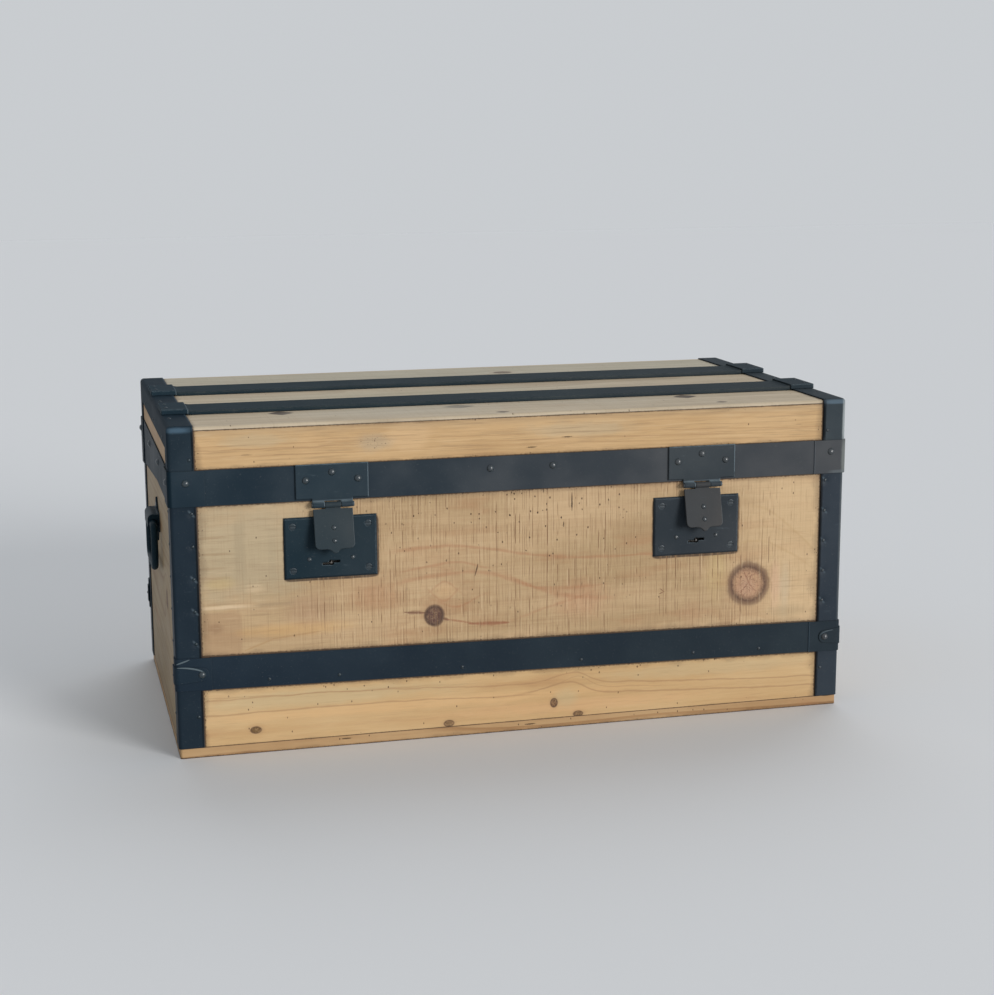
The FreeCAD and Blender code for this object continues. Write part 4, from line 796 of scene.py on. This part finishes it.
# The lid's boards: a frame of pine rails, warmer and cleaner than the body, under three
# thin boards that have greyed on top.
rail_wood = wood(
    "pine_lid_rails",
    face=(1, 0, 1),
    skin=(9, 0.1814, 9),
    grain=dict(
        Heart=(0, -0.05, 0.19), Ring=0.0046, Lean=0.006, Wander=0.016,
        Thin=0.6, Strength=0.35, Fibre=0.6,
    ),
    early=(0.6, 0.405, 0.215),
    late=(0.35, 0.195, 0.09),
    tone=(0.86, 0.83, 0.77),
    blush=0.15,
    rubs=on_front((0.0, 0.3, 0.5, 0.06, 0.36)),
    arches=[
        (0.2978, 0.0, 0.0, 0.0, 0.05, 0.05, 0.0011, -0.33, -0.15, GROWTH, 0.6),
        (0.289, -0.01, 0.0, 0.0, 0.05, 0.05, 0.0008, -0.33, 0.05, GROWTH, 0.35),
        (0.306, 0.01, 0.0, 0.0, 0.05, 0.05, 0.0008, -0.2, 0.1, GROWTH, 0.3),
        (0.3085, -0.005, 0.0, 0.0, 0.05, 0.05, 0.0009, 0.05, 0.33, GROWTH, 0.3),
        (0.293, 0.0, 0.0, 0.0, 0.05, 0.05, 0.0008, 0.08, 0.33, GROWTH, 0.35),
    ],
    patches=on_front(
        (-0.146, 0.2985, 0.017, 0.007, 2.0, 1.6, 0.7, (0.36, 0.31, 0.235), 0.45),
        (-0.112, 0.305, 0.02, 0.016, 2.0, 0.5, 0.4, (0.68, 0.47, 0.27), 0.35),
        (0.06, 0.303, 0.05, 0.007, 2.0, 1.4, 0.5, (0.42, 0.36, 0.25), 0.4),
        (-0.26, 0.306, 0.03, 0.006, 2.0, 1.4, 0.5, (0.44, 0.37, 0.25), 0.4),
        # Painted shade: a darker band along the rail's top edge, under the top boards.
        (0.06, 0.317, 0.9, 0.0055, 2.0, 1.0, 0.7, (0.37, 0.265, 0.16), 0.42),
    ),
    specks=[
        (*LYING, 0.3, (0.02, FRONT, 0.29), (0.28, FAR, 0.02), 0.3),
        ((0.6, 0.4, 1), 0.0013, 0.22, 0.5, (-0.146, FRONT, 0.2985), (0.016, FAR, 0.0065), 0.0),
        (*TINY, 0.1, *EVEN),
    ],
    borders=[
        ((1, 0, 0), LID_IRON_EDGE, 0.007),
        ((-1, 0, 0), LID_IRON_EDGE, 0.007),
        ((0, 0, 1), -0.28, 0.003),
        ((0, 0, -1), 0.3176, 0.0019),
    ],
)
finish_with(rail_wood, "lid_front_rail", "lid_back_rail")
end_rail_wood = wood(
    "pine_lid_end_rails",
    turned=True,
    face=(1, 0, 1),
    skin=(0.3394, 9, 9),
    grain=dict(Heart=(0, 0.29, 0.25), Ring=0.005, Lean=0.01, Wander=0.01, Thin=0.5, Strength=0.6, Fibre=0.5),
    early=(0.47, 0.315, 0.175),
    late=(0.32, 0.175, 0.085),
    tone=(0.86, 0.83, 0.78),
    blush=0.2,
    specks=[(*LYING, 0.2, *EVEN)],
    borders=[
        ((0, 1, 0), 0.1581, 0.005),
        ((0, -1, 0), 0.1581, 0.005),
        ((0, 0, 1), -0.28, 0.003),
        ((0, 0, -1), 0.2992, 0.003),
    ],
)
finish_with(end_rail_wood, *pairs("lid_end_rail"))


def on_top(*rows):
    """Patches on the lid's top: each row gives x, y, half width and half depth, and then the rest of the
    patch."""
    return [((x, y, TOP), (wide, deep, FAR), *rest) for x, y, wide, deep, *rest in rows]


TOP = 0.321
top_wood = wood(
    "pine_lid_top",
    face=(1, 1, 0),
    skin=(0.3394, 0.1814, TOP),
    grain=dict(
        Heart=(0, 0.02, 0.16), Ring=0.0065, Lean=0.012, Wander=0.03,
        Thin=0.4, Strength=0.6, Fibre=0.6,
    ),
    early=(0.6, 0.505, 0.375),
    late=(0.38, 0.3, 0.205),
    tone=(0.82, 0.81, 0.79),
    blush=0.12,
    knots=[((0.06, 0.125, TOP), 0.008, 1.2, (0.1, 0.07, 0.055), 0.8, 0.7)],
    patches=on_top(
        (-0.225, -0.1165, 0.0125, 0.012, 1.15, 0.35, 0.14, (0.045, 0.032, 0.03), 0.92),
        (-0.0485, -0.1215, 0.0165, 0.0105, 1.1, 0.35, 0.14, (0.045, 0.032, 0.03), 0.92),
        (0.1905, -0.1175, 0.013, 0.011, 1.15, 0.35, 0.14, (0.045, 0.032, 0.03), 0.92),
        (-0.0153, -0.168, 0.007, 0.005, 1.3, 0.4, 0.2, (0.07, 0.05, 0.045), 0.8),
        (0.2131, -0.164, 0.006, 0.0045, 1.3, 0.4, 0.2, (0.07, 0.05, 0.045), 0.8),
        (-0.11, -0.13, 0.1, 0.03, 2.0, 1.0, 0.6, (0.52, 0.475, 0.385), 0.5),
        (0.1, -0.12, 0.07, 0.03, 2.0, 1.0, 0.6, (0.5, 0.45, 0.36), 0.4),
        (0.0, 0.13, 2.0, 0.042, 4.0, 0.3, 0.2, (0.38, 0.395, 0.33), 0.42),
        (-0.1, -0.02, 0.2, 0.03, 2.0, 0.8, 0.6, (0.46, 0.44, 0.33), 0.35),
    ),
    scratches=(0.2, -0.3, 0.25),
    specks=[
        (*LYING, 0.2, *EVEN),
        (*TINY, 0.15, *EVEN),
    ],
    borders=[
        ((1, 0, 0), LID_IRON_EDGE, 0.004),
        ((-1, 0, 0), LID_IRON_EDGE, 0.004),
        ((0, 0, 1), -0.3176, 0.0012),
    ],
)
finish_with(top_wood, "top_board_front", "top_board_middle", "top_board_rear")


# The ironwork: folded sheet iron under blue-black paint that is dull with age, uneven
# from the metal beneath, scuffed and specked with dust. The paint is painted lighter towards
# the right, a painted sheen from the light on that side; its edges are painted lighter where
# they face right or up, partly rubbed paint and partly a painted highlight, and darker where
# they face left or down, a painted shade.
def make_paint():
    """Mottled paint: slow clouds shift the colour, and it turns lighter towards the right, a painted
    sheen from the light on that side. A fine tooth roughens it, shallow dents tilt the sheet, and where a
    rounded normal parts from the true one, at an edge, the edge is painted lighter if it faces right or
    up, partly rubbed paint and partly a painted highlight, and darker if it faces left or down, a painted
    shade. Scuffs rub the paint lighter here and there."""
    takes = "Place:Vector Paint:Color Faded:Color Rubbed:Color Wear Gloss Edge"
    given, out = group("old paint", takes, "Colour:Color Roughness Normal:Vector")
    place = given["Place"]
    clouds = cloudy(scaled(place, 16), 3.0)
    across = clouds * 0.35 + split(place)[0]
    # Painted sheen: lighter towards the right, the side the light comes from.
    colour = mixed(fade(across, -0.25, 0.55), given["Paint"], given["Faded"])
    colour = mixed(fade(clouds, 0.35, 0.75), colour, (1.35, 1.3, 1.25), "MULTIPLY")
    round_edge = put("ShaderNodeBevel", {"Radius": given["Edge"]}, samples=4)
    true_face = put("ShaderNodeNewGeometry", {}, given.node.id_data)["True Normal"]
    agree = dot(round_edge, true_face)
    edge = fade(agree, 0.985, 0.86)
    spaces = {"vector_type": "NORMAL", "convert_from": "WORLD", "convert_to": "OBJECT"}
    facing = split(put("ShaderNodeVectorTransform", {"Vector": round_edge}, **spaces))
    # Painted light and shade on edges: lighter facing right or up, darker facing left or down.
    facing_light = fade(facing[0] + facing[2], -0.1, 0.4)
    ragged = fade(cloudy(scaled(place, 120), 3.0, 0.7), 0.25, 0.55)
    lit_edge = edge * facing_light * ragged
    rubbed_and_lit = lit_edge * given["Wear"]
    shaded_edge = edge * (given["Wear"] - facing_light)
    colour = mixed(inside_range(shaded_edge), colour, (0.002, 0.003, 0.004))
    scuffs = fade(cloudy(stretched(place, 35, 190, 190), 4.0, 0.7), 0.62, 0.8)
    rubbed_and_lit = calc("MAXIMUM", rubbed_and_lit, scuffs * (given["Wear"] * 0.35))
    colour = mixed(rubbed_and_lit, colour, given["Rubbed"])
    dust = fade(cloudy(scaled(place, 1300), 1.0), 0.72, 0.8)
    colour = mixed(dust * 0.3, colour, (0.3, 0.3, 0.29))
    link(colour, out["Colour"])
    tooth = cloudy(scaled(place, 900), 2.0)
    dents = cloudy(scaled(place, 22), 2.0)
    rough = clouds * 0.24 + 0.34 - given["Gloss"]
    link(rubbed_and_lit * -0.1 + rough, out["Roughness"])
    height = tooth * 0.035 + dents
    links = {"Height": height, "Strength": 0.6, "Distance": 0.0012, "Normal": round_edge}
    bump = put("ShaderNodeBump", links)
    link(bump, out["Normal"])


TACKS_ALONG = 0.32
TACKS_DEEP = 0.162
LOWEST_TACK = 0.113
TACK_GAP = 0.0315
HOLLOW_STEEPNESS = 60000.0


def make_tack_dents():
    """The hollow that the hammer left round each tack of the corner irons. The tacks are evenly spaced up
    the iron, as far in from the corner on each leg: hollow is a bell about each, and glint a short
    slanting streak over it."""
    given, out = group("tack dents", "Place:Vector", "Hollow Glint")
    place = given["Place"]
    parts = split(place)
    risen = (parts[2] - LOWEST_TACK) / TACK_GAP
    nearest = calc("MAXIMUM", calc("ROUND", risen), 0.0)
    up = (risen - nearest) * TACK_GAP
    off_front = abs(parts[0]) - TACKS_ALONG
    off_side = abs(parts[1]) - TACKS_DEEP
    aside = calc("MINIMUM", abs(off_front), abs(off_side))
    squares = aside * aside + up * up
    link(calc("EXPONENT", squares * -HOLLOW_STEEPNESS), out["Hollow"])
    outward = off_front * calc("SIGN", parts[0])
    slant = abs(up * 0.66 + outward * 0.75)
    long = fade(cloudy(stretched(place, 60, 60, 60), 2.0), 0.35, 0.6)
    glint = fade(slant, 0.0017, 0.0) * fade(squares, 3.2e-05, 4e-06)
    link(glint * long, out["Glint"])


make_paint()
make_tack_dents()


def painted(name, tones, wear, edge, gloss=0.0, metallic=0.0, mirror=0.08, dents=False, marks=()):
    """Old paint on a piece of sheet iron. tones are the paint's colour on the left, its colour on the right,
    where it is painted lighter as a sheen from the light on that side, and its colour where it is rubbed
    or painted with an edge highlight. wear is the strength of the rubbing and of the painted edge light
    and shade, and edge how far in they reach. With dents, it has the hollows of the corner irons' tacks,
    each with a painted glint. marks are worn places, painted highlights and painted shade, given as a
    board's patches are."""
    made, shader = new_material(name, Metallic=metallic, Specular_IOR_Level=mirror)
    place = put("ShaderNodeTexCoord", {}, made.node_tree)["Object"]
    colours = {title: (*tone, 1) for title, tone in zip(("Paint", "Faded", "Rubbed"), tones)}
    coat = use("old paint", Place=place, Wear=wear, Gloss=gloss, Edge=edge, **colours)
    colour = coat["Colour"]
    normal = coat["Normal"]
    for *shape, mark, share in marks:
        colour = mixed(patch(place, *shape) * share, colour, mark)
    if dents:
        tacks = use("tack dents", Place=place)
        # The glint over each tack is a painted highlight.
        colour = mixed(tacks["Glint"] * 0.6, colour, tones[2])
        hollow = {"Height": tacks["Hollow"], "Strength": 1.0, "Distance": -0.0009, "Normal": normal}
        normal = put("ShaderNodeBump", hollow)
    link(colour, shader.inputs["Base Color"])
    link(coat["Roughness"], shader.inputs["Roughness"])
    link(normal, shader.inputs["Normal"])
    return made


# Painted shade down the corner irons' inner free edges, and the right iron's outer edge painted lighter,
# partly wear and partly a painted highlight.
EDGE_SHADE = (0.004, 0.005, 0.006)
edge_light_and_shade = [
    ((side * 0.3158, -0.182, 0.132), (0.0017, 0.006, 0.124), 8.0, 0.5, 0.4, EDGE_SHADE, 0.85)
    for side in (-1, 1)
]
edge_light_and_shade.append(((0.339, -0.182, 0.17), (0.002, 0.006, 0.08), 4.0, 0.6, 0.5, (0.11, 0.125, 0.13), 0.6))
tones = (0.01, 0.019, 0.0295), (0.023, 0.032, 0.044), (0.1, 0.135, 0.16)
iron = painted("blue_black_iron", tones, wear=0.6, edge=0.0014, dents=True, marks=edge_light_and_shade)
finish_with(iron, *pairs("corner_iron_front", "corner_iron_back"))
# The seam band: its left end painted darker, a painted shade on the side away from the light; its right end
# and lower corner worn pale; and the face of its lap step painted lighter, painted light on a face turned
# away from the light.
band_wear_light_and_shade = [
    ((-0.342, 0.0, 0.25), (0.0045, 0.196, 0.05), 8.0, 0.0, 0.1, (0.005, 0.015, 0.024), 0.95),
    ((0.34, -0.184, 0.262), (0.0036, 0.007, 0.0185), 4.0, 0.5, 0.4, (0.17, 0.185, 0.18), 0.75),
    ((0.333, -0.184, 0.2475), (0.009, 0.006, 0.0016), 3.0, 0.9, 0.5, (0.13, 0.155, 0.17), 0.45),
    ((0.3071, -0.184, 0.263), (0.0004, 0.02, 0.03), 8.0, 0.0, 0.2, (0.125, 0.138, 0.155), 1.0),
]
tones = (0.0125, 0.0245, 0.0365), (0.055, 0.06, 0.067), (0.13, 0.155, 0.17)
band_paint = painted("seam_band_paint", tones, wear=0.12, edge=0.0006, mirror=0.035, marks=band_wear_light_and_shade)
finish_with(band_paint, "seam_band_front", "seam_band_left", "seam_band_right", "seam_band_back")
# The face of the lower band's lap step is painted lighter, painted light on a face turned away from the
# light.
strap_lap_light = [((0.3065, -0.1835, 0.079), (0.0004, 0.02, 0.03), 8.0, 0.0, 0.2, (0.062, 0.091, 0.117), 1.0)]
tones = (0.01, 0.0195, 0.032), (0.0155, 0.0245, 0.033), (0.1, 0.13, 0.15)
strap_paint = painted("strap_paint", tones, wear=0.12, edge=0.0006, marks=strap_lap_light)
finish_with(strap_paint, "lower_band_front", "lower_band_back")
# Painted highlights along the top folds of the lid irons' front legs, the right iron's outer edge painted
# bright, partly wear and partly a painted highlight, and painted shade down their inner free edges.
fold_light_and_shade = [
    ((-0.331, -0.183, 0.3188), (0.011, 0.004, 0.0024), 3.0, 1.3, 0.6, (0.085, 0.145, 0.205), 0.65),
    ((0.331, -0.183, 0.3192), (0.013, 0.004, 0.002), 3.0, 0.8, 0.5, (0.14, 0.2, 0.26), 0.5),
    ((0.3394, -0.183, 0.299), (0.0024, 0.007, 0.021), 4.0, 0.5, 0.4, (0.3, 0.33, 0.34), 0.85),
    ((0.3165, -0.183, 0.299), (0.0022, 0.007, 0.02), 8.0, 0.4, 0.4, EDGE_SHADE, 0.8),
    ((-0.3165, -0.183, 0.299), (0.0016, 0.007, 0.02), 8.0, 0.4, 0.4, EDGE_SHADE, 0.8),
]
tones = (0.0152, 0.0255, 0.0362), (0.04, 0.051, 0.06), (0.14, 0.2, 0.26)
bent_iron = painted("bent_iron", tones, wear=0.5, edge=0.0026, mirror=0.005, marks=fold_light_and_shade)
finish_with(bent_iron, *pairs("lid_end_iron"))
tones = (0.01, 0.02, 0.032), (0.017, 0.026, 0.034), (0.1, 0.13, 0.15)
clip_paint = painted("clip_paint", tones, wear=0.3, edge=0.0007)
finish_with(clip_paint, "band_corner_clips")
tones = (0.007, 0.0205, 0.031), (0.028, 0.034, 0.041), (0.12, 0.155, 0.185)
lock_paint = painted("blue_black_locks", tones, wear=0.9, edge=0.0016)
finish_with(lock_paint, *pairs("lock_plate", "lid_hinge_leaf", "body_hinge_leaf", "handle_plate", "bail"))
# Painted highlights: light lines along the tops of the hasp knuckles.
knuckle_highlights = [
    ((-0.187, -0.187, 0.2452), (0.021, 0.006, 0.0011), 4.0, 0.5, 0.4, (0.2, 0.26, 0.3), 0.35),
    ((0.1856, -0.187, 0.2452), (0.021, 0.006, 0.0011), 4.0, 0.5, 0.4, (0.2, 0.26, 0.3), 0.35),
]
tones = (0.016, 0.031, 0.044), (0.036, 0.044, 0.051), (0.2, 0.26, 0.3)
plate_paint = painted("hasp_plates", tones, wear=0.9, edge=0.0018, marks=knuckle_highlights)
finish_with(plate_paint, *pairs("hasp_plate"))
tones = (0.02, 0.035, 0.045), (0.05, 0.049, 0.05), (0.13, 0.15, 0.165)
flap_paint = painted("dusty_flaps", tones, wear=0.8, edge=0.0012, gloss=-0.08)
finish_with(flap_paint, *pairs("hasp_flap"))
tones = (0.014, 0.026, 0.035), (0.03, 0.036, 0.042), (0.24, 0.3, 0.35)
studs = painted("domed_studs", tones, wear=0.8, edge=0.0008, gloss=0.18, mirror=0.75)
finish_with(studs, *pairs("hasp_staple"), "lock_plate_rivets", "hinge_pins", "hasp_pins")
finish_with(studs, "handle_screws", "body_hinge_screws", "lid_hinge_screws")
finish_with(studs, "body_dome_nails", "lid_dome_nails")
tones = (0.01, 0.022, 0.031), (0.026, 0.034, 0.041), (0.17, 0.2, 0.23)
steel = painted("rubbed_heads", tones, wear=0.7, edge=0.0007, gloss=0.14, metallic=0.2, mirror=0.5)
finish_with(steel, "lock_plate_screws", "iron_tacks", "lid_tacks")
tones = (0.11, 0.105, 0.1), (0.11, 0.105, 0.1), (0.3, 0.29, 0.28)
bare = painted("bare_iron", tones, wear=0.5, edge=0.0008, metallic=0.8)
finish_with(bare, *pairs("lock_case", "lock_bolt"))


# The lid's slats: hardwood strips painted like the iron, with the paint worn along the
# long edges and painted with light and shade there as on the iron, held at their ends by
# pressed iron clamps.
tones = (0.017, 0.03, 0.039), (0.03, 0.04, 0.047), (0.2, 0.185, 0.16)
slat_paint = painted("painted_slats", tones, wear=1.0, edge=0.0018, mirror=0.005)
finish_with(slat_paint, "lid_slat_front", "lid_slat_rear")
tones = (0.016, 0.031, 0.044), (0.028, 0.04, 0.05), (0.2, 0.25, 0.28)
clamp_paint = painted("slat_clamp_paint", tones, wear=1.0, edge=0.0016, mirror=0.005)
finish_with(clamp_paint, "slat_clamps")


# The creases that the hammer raised in the bands' ends and tongues when their corners
# were folded and nailed: thin ridges of the same sheet iron, painted bright all over, partly
# worn paint and partly a painted highlight where the creases catch the light.
def ridge(name, start, middle, finish, half_width, height):
    """A ridge along a bent path. The path is the curve (1-t)^2 start + 2t(1-t) middle + t^2 finish, in
    the sheet's own upright plane, and the ridge is an ellipse round it, half sunk in the sheet, whose
    half width and height both swell from nothing at the ends as the square root of the sine of half a
    turn. Two points close the ends."""
    along, around = 24, 12
    t = np.linspace(0, 1, along + 2)[1:-1, None]
    a, b, c = (np.array(point) for point in (start, middle, finish))
    path = (1 - t) ** 2 * a + 2 * t * (1 - t) * b + t**2 * c
    run = 2 * (1 - t) * (b - a) + 2 * t * (c - b)
    run /= np.linalg.norm(run, axis=1, keepdims=True)
    out = np.array((0.0, math.copysign(1.0, start[1]), 0.0))
    side = np.cross(run, out)
    swell = np.sqrt(np.sin(math.pi * t))
    turn = np.linspace(0, 2 * math.pi, around, endpoint=False)
    rings = path[:, None] + swell[:, None] * (
        half_width * np.cos(turn)[None, :, None] * side[:, None] + height * np.sin(turn)[None, :, None] * out
    )
    points = np.concatenate([rings.reshape(-1, 3), [a], [c]])
    row = np.arange(along - 1)[:, None] * around
    here = np.arange(around)
    ahead = (here + 1) % around
    quads = np.stack([row + here, row + around + here, row + around + ahead, row + ahead], -1).reshape(-1, 4)
    last = (along - 1) * around
    first_pole = np.full(around, along * around)
    first_cap = np.stack([first_pole, here, ahead], -1)
    last_cap = np.stack([first_pole + 1, last + ahead, last + here], -1)
    mesh = bpy.data.meshes.new(name)
    mesh.from_pydata(points.tolist(), [], quads.tolist() + first_cap.tolist() + last_cap.tolist())
    mesh.polygons.foreach_set("use_smooth", [True] * len(mesh.polygons))
    mesh.materials.append(ridge_wear_and_highlight_paint)
    made = bpy.data.objects.new(name, mesh)
    bpy.context.collection.objects.link(made)
    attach(made, "body")


TONGUE_FACE = 0.1842
STRAP_FACE = 0.1832
LEFT_END = -0.34
# Bright paint on the ridges: partly wear, partly a painted highlight.
tones = (0.085, 0.115, 0.135), (0.06, 0.08, 0.095), (0.26, 0.3, 0.33)
ridge_wear_and_highlight_paint = painted("ridge_wear_and_highlight", tones, wear=0.6, edge=0.0004, gloss=0.1)
for end, y in (("front", -1), ("back", 1)):
    sheet = y * TONGUE_FACE
    tip = (-0.3125, sheet, 0.085)
    bend = (-0.323, sheet, 0.0912)
    ridge(f"tongue_ridge_{end}_left", (LEFT_END, sheet, 0.0915), bend, tip, 0.0009, 0.0008)
    sheet = y * STRAP_FACE
    bend = (-0.333, sheet, 0.0965)
    tip = (-0.327, sheet, 0.0985)
    ridge(f"strap_crease_{end}_left", (LEFT_END, sheet, 0.0945), bend, tip, 0.0008, 0.0006)
    sheet = y * TONGUE_FACE
    bend = (0.3215, sheet, 0.0805)
    tip = (0.333, sheet, 0.0808)
    ridge(f"tongue_ridge_{end}_right", (0.318, sheet, 0.076), bend, tip, 0.0008, 0.0006)
